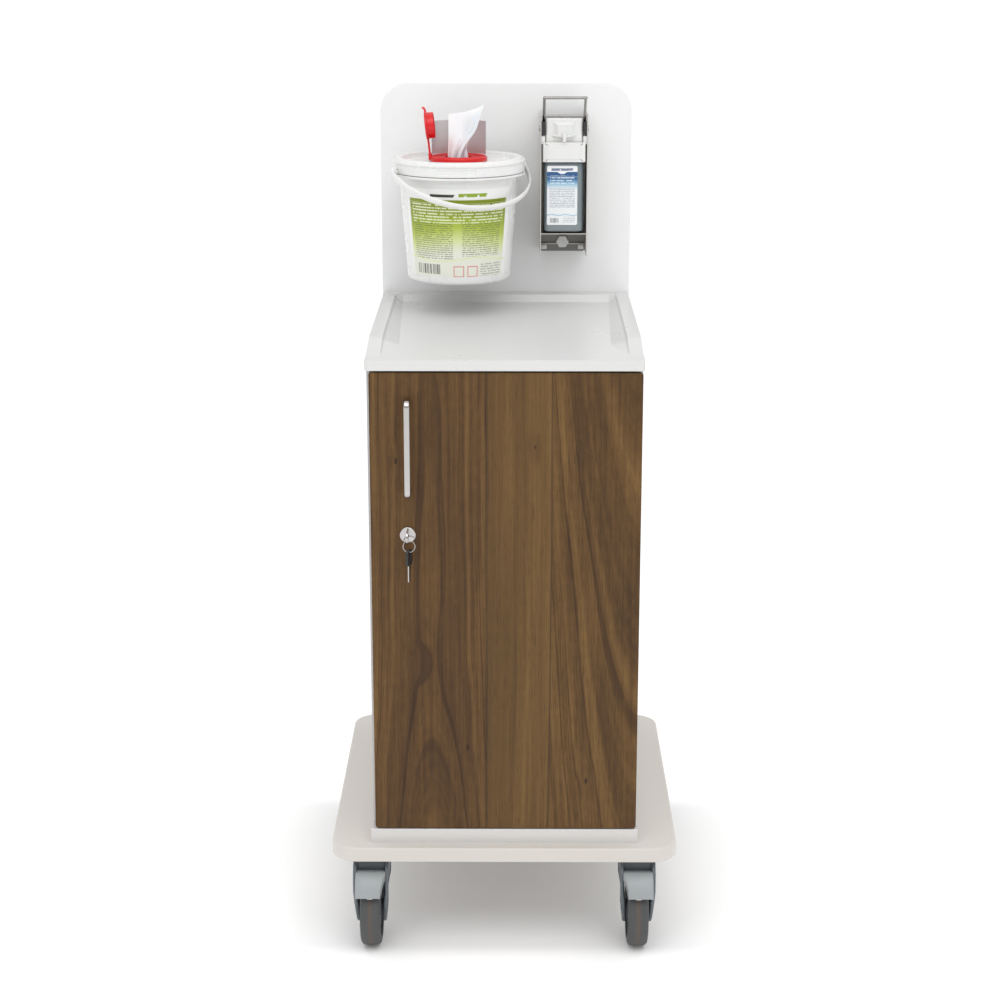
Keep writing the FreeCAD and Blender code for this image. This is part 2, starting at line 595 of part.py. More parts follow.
# ---- wipes bucket, holder and lid ----
def bucket():
    x, y, z = BUCKET_X, BUCKET_Y, BUCKET_Z
    c = COLLAR_R
    outer = [(0, z), (c - 30.0, z), (c - 25.5, z + 5), (c - 25.0, z + 13), (c - 11.5, z + 180.0),
             (c, z + 180.0), (c, z + 184.0), (c - 8.0, z + 184.0), (c - 9.5, z + 198.0),
             (c - 12.0, z + 198.0), (c - 13.5, z + 180.0), (c - 27.0, z + 13), (c - 29.5, z + 3), (0, z + 3)]
    s = revolve(outer, x, y)
    for sx in (-1, 1):
        a = math.radians(BAIL_YAW)
        ux, uy = sx * math.cos(a), sx * -math.sin(a)
        inner, tip = c - 11.0, c + 5.0
        hub = cyl(4.0, (x + inner * ux, y + inner * uy, BAIL_Z), (x + tip * ux, y + tip * uy, BAIL_Z))
        s = s.fuse(hub)
    save("bucket_shell", s)
    roll = tube(c - 40.0, 24.0, (x, y, z + 4.0), (x, y, z + 158.0))
    save("wipes_roll", roll)


BAIL_YAW = -25.0
BAIL_Z = BUCKET_Z + 188.0
BAIL_R = COLLAR_R + 10.0
BAIL_REST = 26.0


def bail():
    x, y = BUCKET_X, BUCKET_Y
    path_r = BAIL_R
    ring = tube(path_r + 1.7, path_r - 1.7, (x, y, BAIL_Z - 4.0), (x, y, BAIL_Z + 4.0))
    keep = box(x - 2 * path_r, x + 2 * path_r, y - 2 * path_r, y, BAIL_Z - 10, BAIL_Z + 10)
    half = ring.common(keep)
    eyes = []
    for sx in (-1, 1):
        eyes.append(cyl(7.0, (x + sx * (path_r - 1.7), y, BAIL_Z), (x + sx * (path_r + 1.7), y, BAIL_Z)))
        eyes.append(cyl(5.5, (x + sx * (path_r - 8.0), y, BAIL_Z), (x + sx * (path_r - 1.7), y, BAIL_Z)))
    s = join([half] + eyes)
    for sx in (-1, 1):
        inner, tip = x + sx * (path_r - 24.0), x + sx * (path_r - 4.6)
        s = s.cut(cyl(4.0 + RUN + 0.1, (inner, y, BAIL_Z), (tip, y, BAIL_Z)))
    s = turned(s, (x, y, BAIL_Z), (1, 0, 0), BAIL_REST)
    save("bail", turned(s, (x, y, BAIL_Z), (0, 0, 1), -BAIL_YAW))


def lid():
    x, y, z = BUCKET_X, BUCKET_Y, LID_Z
    c = COLLAR_R
    profile = [(30.0, LID_TOP - 8), (c - 18.0, LID_TOP - 8), (c - 15.5, LID_TOP), (c - 4.5, LID_TOP),
               (c - 4.0, z + 16.0), (c + 1.0, z + 15.5), (c + 1.0, z + 14.0), (c - 1.5, z + 1.0),
               (c - 3.5, z + 1.0), (c - 3.5, z + 14.5), (c - 8.5, z + 16.5),
               (c - 16.0, z + 16.5), (c - 17.0, LID_TOP - 10.5), (30.0, LID_TOP - 10.5)]
    s = revolve(profile, x, y)
    for sx in (-1, 1):
        a = math.radians(BAIL_YAW)
        ux, uy = sx * math.cos(a), sx * -math.sin(a)
        inner, tip = c - 14.0, c + 16.0
        s = s.cut(cyl(5.5, (x + inner * ux, y + inner * uy, BAIL_Z), (x + tip * ux, y + tip * uy, BAIL_Z)))
    save("bucket_lid", s)
    zc = LID_TOP - 12.0
    collar = [(23.0, zc), (29.5, zc), (29.5, LID_TOP - 7.5), (49.5, LID_TOP - 7.5), (49.5, LID_TOP - 1.5),
              (48.0, LID_TOP), (24.5, LID_TOP), (23.0, LID_TOP - 1.5)]
    s = revolve(collar, x, y)
    hx = x - 49.0
    for dy in (-9.0, 9.0):
        knuckle = cyl(2.6, (hx, y + dy - 2.5, HINGE_Z), (hx, y + dy + 2.5, HINGE_Z))
        post = box(hx - 2.0, hx + 4.0, y + dy - 2.5, y + dy + 2.5, LID_TOP - 6.0, HINGE_Z)
        s = join([s, post, knuckle])
    save("dispenser_collar", s.cut(cyl(1.2 + RUN, (hx, y - 14, HINGE_Z), (hx, y + 14, HINGE_Z))))


HINGE_Z = LID_TOP + 3.0
FLAP_LEAN = 6.0


def flap():
    x, y = BUCKET_X, BUCKET_Y
    hx = x - 49.0
    pin = cyl(1.2, (hx, y - 11.5, HINGE_Z), (hx, y + 11.5, HINGE_Z))
    knuckle = cyl(2.6, (hx, y - 6.0, HINGE_Z), (hx, y + 6.0, HINGE_Z))
    strap = box(hx - 1.6, hx + 1.6, y - 6.0, y + 6.0, HINGE_Z, HINGE_Z + 30.0)
    disc = cyl(25.5, (hx - 1.6, y, HINGE_Z + 49.0), (hx + 1.6, y, HINGE_Z + 49.0))
    plug = tube(22.0, 19.5, (hx + 1.6, y, HINGE_Z + 49.0), (hx + 9.0, y, HINGE_Z + 49.0))
    tab = box(hx - 1.6, hx + 1.6, y - 8.0, y + 8.0, HINGE_Z + 70.0, HINGE_Z + 81.0)
    s = join([pin, knuckle, strap, disc, plug, tab])
    save("flap", turned(s, (hx, y, HINGE_Z), (0, 1, 0), -FLAP_LEAN))


GUARD_W = 94.0
GUARD_H = 57.0


def guard_and_wipe():
    x, y = BUCKET_X, BUCKET_Y
    sag = 24.0
    chord = GUARD_W / 2
    r = (chord * chord + sag * sag) / (2 * sag)
    cy = y + 28.0 + sag - r
    ring = tube(r + 0.5, r - 0.5, (x, cy, LID_TOP + 0.4), (x, cy, LID_TOP + GUARD_H))
    keep = box(x - chord, x + chord, y + 28.0, y + 80.0, LID_TOP, LID_TOP + GUARD_H + 1)
    save("guard_sheet", ring.common(keep))
    z0 = LID_TOP - 16.0
    cloth = [(x - 15.0, y - 1.5, z0), (x + 13.0, y - 1.5, z0), (x + 16.0, y - 1.5, LID_TOP + 20.0),
             (x + 44.0, y - 1.5, LID_TOP + 84.0), (x + 8.0, y - 1.5, LID_TOP + 76.0),
             (x - 17.0, y - 1.5, LID_TOP + 72.0), (x - 16.0, y - 1.5, LID_TOP + 6.0)]
    save("wipe_sheet", prism(cloth, (0, 3.0, 0)))


def holder():
    x, y = BUCKET_X, BUCKET_Y
    plate = box(x - 55.0, x + 55.0, PANEL_Y - 2.3, PANEL_Y - 0.3, BUCKET_Z + 20.0, BUCKET_Z + 170.0)
    plate = rounded(plate, 8.0, lambda e: along(e, "y"))
    zt = BUCKET_Z + 179.5
    c = COLLAR_R
    ring = tube(c - 2.0, c - 8.5, (x, y, zt - 5.0), (x, y, zt))
    ring = ring.common(box(x - 2 * c, x + 2 * c, y - 9.0, PANEL_Y, zt - 6, zt + 1))
    arm = box(x - 25.0, x + 25.0, y + c - 6.0, PANEL_Y - 0.3, zt - 5.0, zt)
    neck = box(x - 25.0, x + 25.0, PANEL_Y - 2.3, PANEL_Y - 0.3, BUCKET_Z + 160.0, zt)
    foot_z = BUCKET_Z + 40.0
    rest = box(x - 20.0, x + 20.0, y + c - 19.0, PANEL_Y - 0.3, foot_z, foot_z + 2.0)
    save("bucket_holder", join([plate, ring, arm, neck, rest]))


def holder_screws():
    x, y = BUCKET_X, BUCKET_Y
    made = []
    for sx in (-1, 1):
        for z in (BUCKET_Z + 55.0, BUCKET_Z + 145.0):
            xs = x + sx * 40.0
            made.append(cyl(4.5, (xs, PANEL_Y - 5.0, z), (xs, PANEL_Y - 2.4, z)))
    return made


# ---- castors ----
HOUSING_W = 59.0
FORK_GAP = TREAD_W + 5.0
FORK_T = 4.5
AXLE_R = 4.0
PEDAL_W = 49.0
PEDAL_Y = -40.0
PEDAL_LOW_Z = CASTOR_H - 51.0
PEDAL_PIN_Y = -48.0
PEDAL_PIN_Z = CASTOR_H - 22.0


def caster(tag, sx, sy):
    cx, cy = sx * CASTOR_X, sy * CASTOR_Y
    turn = 0.0 if sy < 0 else 180.0

    def put(node, shape):
        s = shape.copy()
        s.translate(V(cx, cy, 0))
        s = turned(s, (cx, cy, 0), (0, 0, 1), turn)
        save(tag + "_" + node, s)

    put("fork", fork_shape())
    ay, az = -TRAIL, WHEEL_R
    hw = TREAD_W / 2
    outer = cyl(WHEEL_R, (-hw, ay, az), (hw, ay, az))
    outer = rounded(outer, 7.0, lambda e: e.Length > 2 * math.pi * (WHEEL_R - 1))
    put("tyre", outer.cut(cyl(WHEEL_R - 14.0, (-hw - 1, ay, az), (hw + 1, ay, az))))
    hub = cyl(WHEEL_R - 14.2, (-hw + 4, ay, az), (hw - 4, ay, az))
    boss = cyl(15.0, (-hw - 1.5, ay, az), (hw + 1.5, ay, az))
    hub = hub.fuse(boss).removeSplitter()
    put("hub", hub.cut(cyl(AXLE_R + RUN, (-40, ay, az), (40, ay, az))))
    put("pedal", pedal_shape())


def caster_stems():
    made = []
    for sx in (-1, 1):
        for sy in (-1, 1):
            x, y = sx * CASTOR_X, sy * CASTOR_Y
            stem = cyl(6.0, (x, y, CASTOR_H - 16.0), (x, y, CASTOR_H + 17.0))
            flange = cyl(17.0, (x, y, CASTOR_H - 3.0), (x, y, CASTOR_H - 0.3))
            made.append(stem.fuse(flange).removeSplitter())
    save("caster_stems", compound(made))


def fork_shape():
    """Moulded hood over the wheel with two side arms down to the axle."""
    w = HOUSING_W / 2
    g = FORK_GAP / 2
    top = CASTOR_H - 4.0
    side = [(-w, 26.0, top), (-w, 30.0, top - 16.0), (-w, 12.0, top - 50.0),
            (-w, -TRAIL + 18.0, WHEEL_R - 12.0), (-w, -TRAIL + 8.0, WHEEL_R - 22.0),
            (-w, -TRAIL - 8.0, WHEEL_R - 22.0),
            (-w, -TRAIL - 21.0, WHEEL_R - 4.0), (-w, -66.0, WHEEL_R + 38.0),
            (-w, -62.0, top - 20.0), (-w, -44.0, top - 3.0), (-w, -26.0, top)]
    body = prism(side, (2 * w, 0, 0))
    body = chamfered(body, 3.0, lambda e: e.BoundBox.XLength < 1e-4 and mid(e).y < 20.0)
    roof = 2 * WHEEL_R + 5.0
    gap = cyl(WHEEL_R + 5.0, (-g, -TRAIL, WHEEL_R), (g, -TRAIL, WHEEL_R))
    low = box(-g, g, -120.0, 60.0, 0.0, WHEEL_R)
    p = PEDAL_W / 2 + 0.6
    notch = box(-p, p, -120.0, PEDAL_Y + 1.0, 0.0, roof + 60.0)
    s = body.cut(gap).cut(low).cut(notch)
    s = s.cut(cyl(6.0 + RUN, (0, 0, CASTOR_H - 40.0), (0, 0, CASTOR_H)))
    s = s.cut(cyl(2.0 + RUN, (-w + 1.0, PEDAL_PIN_Y, PEDAL_PIN_Z), (w - 1.0, PEDAL_PIN_Y, PEDAL_PIN_Z)))
    return s.fuse(cyl(AXLE_R, (-w + 2.0, -TRAIL, WHEEL_R), (w - 2.0, -TRAIL, WHEEL_R)))


def pedal_shape():
    """Convex brake pedal with a narrow tab under its lower rim."""
    p = PEDAL_W / 2
    pts = [(-p, PEDAL_Y - 4.0, CASTOR_H - 18.0), (-p, -70.0, CASTOR_H - 14.0), (-p, -88.0, CASTOR_H - 28.0),
           (-p, -97.0, PEDAL_LOW_Z), (-p, -93.0, PEDAL_LOW_Z), (-p, -84.0, CASTOR_H - 31.0),
           (-p, -69.0, CASTOR_H - 19.5), (-p, PEDAL_Y - 4.0, CASTOR_H - 26.0)]
    s = prism(pts, (PEDAL_W, 0, 0))
    tab = box(-4.0, 4.0, -96.0, -93.5, PEDAL_LOW_Z - 4.5, PEDAL_LOW_Z + 2.0)
    reach = HOUSING_W / 2 - 1.5
    pin = cyl(2.0, (-reach, PEDAL_PIN_Y, PEDAL_PIN_Z), (reach, PEDAL_PIN_Y, PEDAL_PIN_Z))
    return s.fuse([tab, pin]).removeSplitter()


base_plate()
bottom_board()
sides()
carcass_boards()
shelves()
tray_top()
splash_panel()
door_leaf()
pivots()
door_handle()
door_bumpers()
lock()
keys()
housing()
bottle()
pump()
lever()
bucket()
bail()
lid()
flap()
guard_and_wipe()
holder()
save("fixing_screws", compound(base_screws() + panel_screws() + holder_screws()))
caster_stems()
for castor_tag, side_x, side_y in (("fl", -1, -1), ("fr", 1, -1), ("rl", -1, 1), ("rr", 1, 1)):
    caster(castor_tag, side_x, side_y)
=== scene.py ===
"""Finishes and fine pieces of a mobile bedside hygiene cabinet."""

import json
import math

import bmesh
import bpy
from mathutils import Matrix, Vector


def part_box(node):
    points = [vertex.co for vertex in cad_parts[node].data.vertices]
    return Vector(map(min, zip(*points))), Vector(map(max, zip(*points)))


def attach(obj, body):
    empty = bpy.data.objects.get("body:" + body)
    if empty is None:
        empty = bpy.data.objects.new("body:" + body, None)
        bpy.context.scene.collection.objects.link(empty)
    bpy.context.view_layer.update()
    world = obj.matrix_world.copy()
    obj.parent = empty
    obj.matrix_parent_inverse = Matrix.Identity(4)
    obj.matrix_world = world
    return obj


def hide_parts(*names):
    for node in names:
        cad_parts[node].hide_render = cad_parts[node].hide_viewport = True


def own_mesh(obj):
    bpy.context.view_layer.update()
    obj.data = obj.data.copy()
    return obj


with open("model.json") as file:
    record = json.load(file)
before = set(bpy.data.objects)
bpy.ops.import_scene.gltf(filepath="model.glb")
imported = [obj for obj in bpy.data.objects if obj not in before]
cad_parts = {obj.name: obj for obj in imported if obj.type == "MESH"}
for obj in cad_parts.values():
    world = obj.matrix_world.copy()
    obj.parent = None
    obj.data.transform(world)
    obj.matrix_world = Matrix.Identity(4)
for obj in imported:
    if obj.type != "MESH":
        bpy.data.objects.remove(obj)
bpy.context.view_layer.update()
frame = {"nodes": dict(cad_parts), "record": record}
scene = bpy.context.scene


# ---- shader writing ----
class Level:
    """A number from a socket, which joins in sums and comparisons."""

    def __init__(self, finish, socket):
        self.finish = finish
        self.socket = socket

    def _sum(self, word, *parts):
        return self.finish.node("ShaderNodeMath", {"operation": word}, dict(enumerate(parts)))

    def __add__(self, other):
        return self._sum("ADD", self, other)

    def __radd__(self, other):
        return self._sum("ADD", other, self)

    def __sub__(self, other):
        return self._sum("SUBTRACT", self, other)

    def __rsub__(self, other):
        return self._sum("SUBTRACT", other, self)

    def __mul__(self, other):
        return self._sum("MULTIPLY", self, other)

    def __rmul__(self, other):
        return self._sum("MULTIPLY", other, self)

    def __truediv__(self, other):
        return self._sum("DIVIDE", self, other)

    def __gt__(self, other):
        return self._sum("GREATER_THAN", self, other)

    def __lt__(self, other):
        return self._sum("LESS_THAN", self, other)

    def __abs__(self):
        return self._sum("ABSOLUTE", self)

    def floor(self):
        return self._sum("FLOOR", self)

    def sine(self):
        return self._sum("SINE", self)

    def bend(self, other):
        return self._sum("ARCTAN2", self, other)

    def capped(self):
        made = self._sum("ADD", self, 0.0)
        made.socket.node.use_clamp = True
        return made


class Finish:
    """A node material built from expressions."""

    def __init__(self, name, **steady):
        self.material = bpy.data.materials.new(name)
        self.material.use_nodes = True
        self.tree = self.material.node_tree
        self.shader = self.tree.nodes["Principled BSDF"]
        for key, value in steady.items():
            self.shader.inputs[key.replace("_", " ")].default_value = value
        self.place = self.node("ShaderNodeTexCoord", {}, {}, "Object")

    def node(self, kind, settings, values, out=0):
        made = self.tree.nodes.new(kind)
        for key, value in settings.items():
            if key == "stops":
                ramp = made.color_ramp
                while len(ramp.elements) < len(value):
                    ramp.elements.new(0.5)
                for element, (spot, colour) in zip(ramp.elements, value):
                    element.position = spot
                    element.color = (*colour, 1)
            else:
                setattr(made, key, value)
        for key, value in values.items():
            if isinstance(value, Level):
                self.tree.links.new(value.socket, made.inputs[key])
            else:
                made.inputs[key].default_value = value
        return Level(self, made.outputs[out])

    def at(self, part, source=None):
        """One of X, Y and Z of a place."""
        return self.node("ShaderNodeSeparateXYZ", {}, {0: source or self.place}, part)

    def stretched(self, scale, turn=(0, 0, 0), offset=(0, 0, 0), source=None):
        return self.node("ShaderNodeMapping", {}, {0: source or self.place, "Scale": scale, "Rotation": turn,
                                                   "Location": offset})

    def spot(self, x, y=0.0, z=0.0):
        return self.node("ShaderNodeCombineXYZ", {}, {0: x, 1: y, 2: z})

    def noise(self, scale, detail=3.0, rough=0.55, source=None):
        values = {"Vector": source or self.place, "Scale": scale, "Detail": detail, "Roughness": rough}
        return self.node("ShaderNodeTexNoise", {}, values, "Fac")

    def spots(self, scale):
        return self.node("ShaderNodeTexVoronoi", {}, {"Vector": self.place, "Scale": scale}, "Distance")

    def step(self, value, low, high):
        """0 at low, 1 at high and smooth between them."""
        return self.node("ShaderNodeMapRange", {"interpolation_type": "SMOOTHSTEP"},
                         {"Value": value, "From Min": low, "From Max": high})

    def ramp(self, value, *stops):
        return self.node("ShaderNodeValToRGB", {"stops": stops}, {0: value})

    def mix(self, share, first, second):
        first = first if isinstance(first, Level) else (*first, 1)
        second = second if isinstance(second, Level) else (*second, 1)
        return self.node("ShaderNodeMix", {"data_type": "RGBA"}, {0: share, 6: first, 7: second}, 2)

    def bump(self, height, depth):
        return self.node("ShaderNodeBump", {}, {"Height": height, "Distance": depth, "Strength": 1.0})

    def give(self, **links):
        for key, value in links.items():
            self.tree.links.new(value.socket, self.shader.inputs[key.replace("_", " ")])
        return self.material


def near(value, centre, half, soft):
    """1 within half of centre and 0 outside it."""
    return value.finish.step(abs(value - centre), half + soft, half - soft)


# ---- finishes ----
LEFT_SEAM = -0.028
RIGHT_SEAM = 0.074


def moulded_sheet(name, colour, rough, grain=0.00003, mottle=0.02, scale=900.0, **steady):
    """Smooth laminate or plastic with a faint grain and slight unevenness."""
    f = Finish(name, **steady)
    cloud = f.noise(7.0, 4.0)
    dust = f.noise(60.0, 3.0)
    dark = tuple(c * (1 - mottle * 2.2) for c in colour)
    tone = f.mix(cloud * 0.7 + dust * 0.3, dark, colour)
    fine = f.noise(scale, 2.0)
    return f.give(Base_Color=tone, Roughness=rough + (cloud - 0.5) * 0.12 + (dust - 0.5) * 0.06,
                  Normal=f.bump(fine, grain))


KNOTS = ((-0.172, 0.838, 0.010), (-0.088, 0.575, 0.013), (-0.130, 0.497, 0.014), (-0.060, 0.354, 0.012),
         (0.136, 0.295, 0.014), (0.048, 0.861, 0.010), (0.126, 0.852, 0.009))


def walnut():
    """Three matched leaves: arches at the foot of the left one and bowls at the head of the right one."""
    f = Finish("walnut_grain")
    f.shader.inputs["Specular IOR Level"].default_value = 0.24
    z = f.at(2)
    slow = f.noise(1.0, 2.0, 0.5, f.stretched((2.2, 1.0, 1.3), offset=(4.0, 0, 2.0)))
    sway = f.noise(1.0, 3.0, 0.5, f.stretched((8.0, 1.0, 2.6)))
    x = f.at(0) + (slow - 0.5) * 0.014
    left = f.step(x, LEFT_SEAM + 0.0006, LEFT_SEAM - 0.0006)
    right = f.step(x, RIGHT_SEAM - 0.0006, RIGHT_SEAM + 0.0006)
    middle = 1.0 - left - right
    from_left = x + 0.118 + (sway - 0.5) * 0.030
    from_right = x - 0.222 + (sway - 0.5) * 0.026
    arched = f.step(z + (sway - 0.5) * 0.20, 0.66, 0.38)
    height = z * arched + (z * 0.16 + 0.36) * (1.0 - arched)
    peak = (from_left * from_left + 0.00003) * 92.0 + height + (slow - 0.5) * 0.12
    bowl = (from_right * from_right + 0.00003) * 36.0 - z * 0.80 + (slow - 0.5) * 0.10
    plain = x * 6.0 + (sway - 0.5) * 0.07 + (slow - 0.5) * 0.20
    grown = left * peak + right * bowl * 1.2 + middle * plain
    core, swirl = 0.0, 0.0
    for knot_x, knot_z, size in KNOTS:
        across, along = x - knot_x, z - knot_z
        away = across * across * 1.8 + along * along * 0.30
        swirl = swirl + f.step(away, size * size * 3.6, 0.0)
        core = core + f.step(away + (sway - 0.5) * size * size * 0.5, size * size * 0.10, 0.0)
    grown = grown + swirl * 0.034
    leaf = left * 3.0 + right * 7.0

    def rings(rate, detail, rough):
        return f.noise(1.0, detail, rough, f.spot(grown * rate, leaf, z * 0.7))

    broad = rings(7.5, 2.0, 0.5)
    fine = rings(42.0, 3.0, 0.60)
    dark_line = f.step(rings(17.0, 1.0, 0.5), 0.60, 0.69)
    band = f.noise(1.0, 3.0, 0.55, f.stretched((11.0, 1.0, 1.1)))
    gleam = f.noise(1.0, 3.0, 0.5, f.stretched((26.0, 1.0, 4.5), turn=(0, 0.10, 0), offset=(0, 0, 5.0)))
    fibre = f.noise(1.0, 4.0, 0.7, f.stretched((520.0, 1.0, 7.0)))
    streak = f.noise(1.0, 3.0, 0.6, f.stretched((150.0, 1.0, 3.0)))
    pores = f.step(f.noise(1.0, 2.0, 0.5, f.stretched((1100.0, 1.0, 34.0))), 0.58, 0.70)
    mottle = f.noise(1.0, 2.0, 0.5, f.stretched((90.0, 1.0, 60.0)))
    share = broad * 0.62 + fine * 0.20 + band * 0.34 + gleam * 0.22
    share = share + (fibre - 0.5) * 0.30 + (streak - 0.5) * 0.34 + (mottle - 0.5) * 0.14
    share = share - dark_line * (0.15 - middle * 0.08) - 0.20
    share = (share * (1.0 - middle * 0.35) + middle * 0.215).capped()
    tone = f.ramp(share, (0.18, (0.030, 0.014, 0.005)), (0.36, (0.064, 0.031, 0.010)),
                  (0.52, (0.110, 0.056, 0.017)), (0.66, (0.158, 0.086, 0.027)), (0.86, (0.235, 0.142, 0.049)))
    tone = f.mix(left * 0.16, tone, (0.098, 0.046, 0.017))
    tone = f.mix(middle * 0.16, tone, (0.150, 0.090, 0.030))
    seam = near(x, LEFT_SEAM - 0.001, 0.0018, 0.0022) + near(x, RIGHT_SEAM, 0.0012, 0.0014)
    tone = f.mix((seam * 0.60).capped(), tone, (0.034, 0.020, 0.010))
    tone = f.mix(pores * 0.40, tone, (0.034, 0.018, 0.009))
    tone = f.mix((swirl * 0.30).capped(), tone, (0.070, 0.034, 0.014))
    tone = f.mix((core * 0.85).capped(), tone, (0.022, 0.011, 0.006))
    return f.give(Base_Color=tone, Roughness=0.50 + (share - 0.5) * 0.14 + pores * 0.15,
                  Normal=f.bump(fibre * 0.5 - pores * 0.6, 0.00008))


def brushed(name, colour, rough=0.32, along=(4.0, 4.0, 900.0), **steady):
    f = Finish(name, Metallic=1.0, **steady)
    hair = f.noise(1.0, 4.0, 0.6, f.stretched(along))
    cloud = f.noise(14.0, 3.0)
    tone = f.mix(hair * 0.6 + cloud * 0.4, tuple(c * 0.82 for c in colour), colour)
    return f.give(Base_Color=tone, Roughness=rough + (hair - 0.5) * 0.16 + (cloud - 0.5) * 0.10,
                  Normal=f.bump(hair, 0.00002))


def polished(name, colour, rough=0.10):
    f = Finish(name, Metallic=1.0)
    cloud = f.noise(40.0, 4.0)
    scuff = f.step(f.noise(1.0, 3.0, 0.6, f.stretched((300.0, 300.0, 40.0))), 0.58, 0.70)
    tone = f.mix(cloud, tuple(c * 0.90 for c in colour), colour)
    worn = rough + cloud * 0.06 + scuff * 0.10
    return f.give(Base_Color=tone, Roughness=worn, Normal=f.bump(cloud, 0.00001))


def castor_plastic(name, colour, rough=0.42):
    f = Finish(name)
    cloud = f.noise(22.0, 4.0)
    speck = f.noise(1400.0, 2.0)
    dust = f.step(f.noise(55.0, 5.0, 0.7), 0.52, 0.75)
    tone = f.mix(cloud, tuple(c * 0.84 for c in colour), colour)
    tone = f.mix(dust * 0.16, tone, (0.40, 0.38, 0.36))
    worn = rough + dust * 0.20 + (cloud - 0.5) * 0.12
    return f.give(Base_Color=tone, Roughness=worn, Normal=f.bump(speck, 0.00005))


def tyre_rubber(name, x_mid):
    f = Finish(name)
    across = abs(f.at(0) - x_mid)
    cloud = f.noise(35.0, 5.0, 0.65)
    grit = f.noise(380.0, 4.0, 0.6)
    tone = f.mix(cloud, (0.050, 0.052, 0.053), (0.088, 0.090, 0.092))
    worn = f.step(across + (cloud - 0.5) * 0.004, 0.0062, 0.0022)
    tone = f.mix(worn * (0.35 + grit * 0.4), tone, (0.110, 0.076, 0.055))
    return f.give(Base_Color=tone, Roughness=0.55 + cloud * 0.25, Normal=f.bump(grit, 0.00012))


def clear_grey():
    f = Finish("bottle_smoke", IOR=1.45, Coat_Weight=0.3)
    z = f.at(2)
    cloud = f.noise(18.0, 3.0)
    wave = f.noise(5.0, 1.0)
    level = f.step(z + (wave - 0.5) * 0.001, 1.1520, 1.1535)
    tone = f.mix(level, (0.200, 0.235, 0.250), (0.165, 0.205, 0.225))
    tone = f.mix(cloud * 0.3, tone, (0.24, 0.28, 0.30))
    return f.give(Base_Color=tone, Roughness=0.16 + cloud * 0.10, Normal=f.bump(f.noise(60.0, 2.0), 0.00005))


def cloth():
    f = Finish("wipe_fleece", Subsurface_Weight=0.25, Subsurface_Scale=0.02, Sheen_Weight=0.25)
    z = f.at(2)
    weave = f.noise(1.0, 4.0, 0.7, f.stretched((700.0, 700.0, 260.0)))
    pits = f.spots(420.0)
    # Painted red reflected light: the lower part of the wipe, near the red collar, is tinted pink.
    painted_red_bounce = f.step(z + (f.noise(30.0) - 0.5) * 0.02, 1.315, 1.268)
    tone = f.mix(weave, (0.86, 0.85, 0.85), (0.95, 0.94, 0.94))
    tone = f.mix(painted_red_bounce * 0.22, tone, (0.92, 0.66, 0.70))
    return f.give(Base_Color=tone, Roughness=0.85 + (weave - 0.5) * 0.1,
                  Normal=f.bump(weave + pits * 0.6, 0.00025))


def housing_steel():
    """Bright steel on the cheeks and a duller back plate, painted darker as painted shade and painted dark
    reflection.
    """
    f = Finish("housing_steel", Metallic=1.0)
    back = f.step(f.at(1), 0.2600, 0.2615)
    under = f.step(f.at(2), 1.150, 1.110)
    hair = f.noise(1.0, 4.0, 0.6, f.stretched((4.0, 4.0, 900.0)))
    cloud = f.noise(14.0, 3.0)
    tone = f.mix(hair * 0.6 + cloud * 0.4, (0.52, 0.50, 0.47), (0.66, 0.64, 0.60))
    # Painted shade and painted dark reflection: the back plate is darkened, more so towards the bottom.
    tone = f.mix(back * (0.45 + under * 0.35), tone, (0.075, 0.075, 0.078))
    return f.give(Base_Color=tone, Roughness=0.30 + (hair - 0.5) * 0.16 + back * 0.14,
                  Normal=f.bump(hair, 0.00002))


FINISH = {
    "base_laminate": moulded_sheet("base_laminate", (0.640, 0.605, 0.565), 0.34),
    "white_board": moulded_sheet("white_board", (0.66, 0.645, 0.63), 0.42, 0.00005),
    "walnut_decor": walnut(),
    "tray_shell": moulded_sheet("tray_shell", (0.66, 0.665, 0.655), 0.30),
    "panel_laminate": moulded_sheet("panel_laminate", (0.82, 0.825, 0.825), 0.30),
    "steel": brushed("satin_steel", (0.62, 0.60, 0.57)),
    "guard": moulded_sheet("bright_guard", (0.62, 0.62, 0.63), 0.36, Metallic=0.45),
    "zinc_screw": brushed("zinc", (0.55, 0.55, 0.54), 0.36, (60.0, 60.0, 60.0)),
    "chrome": polished("polished_chrome", (0.52, 0.50, 0.49)),
    "dark_steel": brushed("dark_steel", (0.36, 0.35, 0.34), 0.26, (60.0, 60.0, 60.0)),
    "housing": housing_steel(),
    "brass": polished("brass", (0.72, 0.56, 0.30), 0.2),
    "white_plastic": moulded_sheet("white_plastic", (0.76, 0.76, 0.75), 0.28, 0.00004, 0.012,
                                   Subsurface_Weight=0.08, Subsurface_Scale=0.004),
    "tyre_rubber": tyre_rubber("tread", 0.0),
    "clear_grey": clear_grey(),
    "red_plastic": moulded_sheet("red_plastic", (0.66, 0.005, 0.008), 0.30, 0.00004, 0.03),
    "black_plastic": moulded_sheet("black_plastic", (0.022, 0.022, 0.024), 0.38, 0.00006, 0.08),
    "grey_plastic": castor_plastic("castor_grey", (0.128, 0.148, 0.165)),
    "pale_plastic": castor_plastic("pedal_grey", (0.345, 0.370, 0.380), 0.40),
    "wipe_cloth": cloth(),
}

OWN_FINISH = {"guard_sheet": "guard", "dispenser_housing": "housing", "lever_frame": "dark_steel",
              "lever_pins": "dark_steel"}
SLOT_OF = {entry["node"]: entry["material_slot"] for entry in frame["record"]["subparts"]}


def dress_nodes():
    """Every CAD node gets the finish of its slot."""
    for name, obj in frame["nodes"].items():
        kind = SLOT_OF[name]
        material = FINISH[OWN_FINISH.get(name, kind)]
        obj.data.materials.clear()
        obj.data.materials.append(material)


dress_nodes()


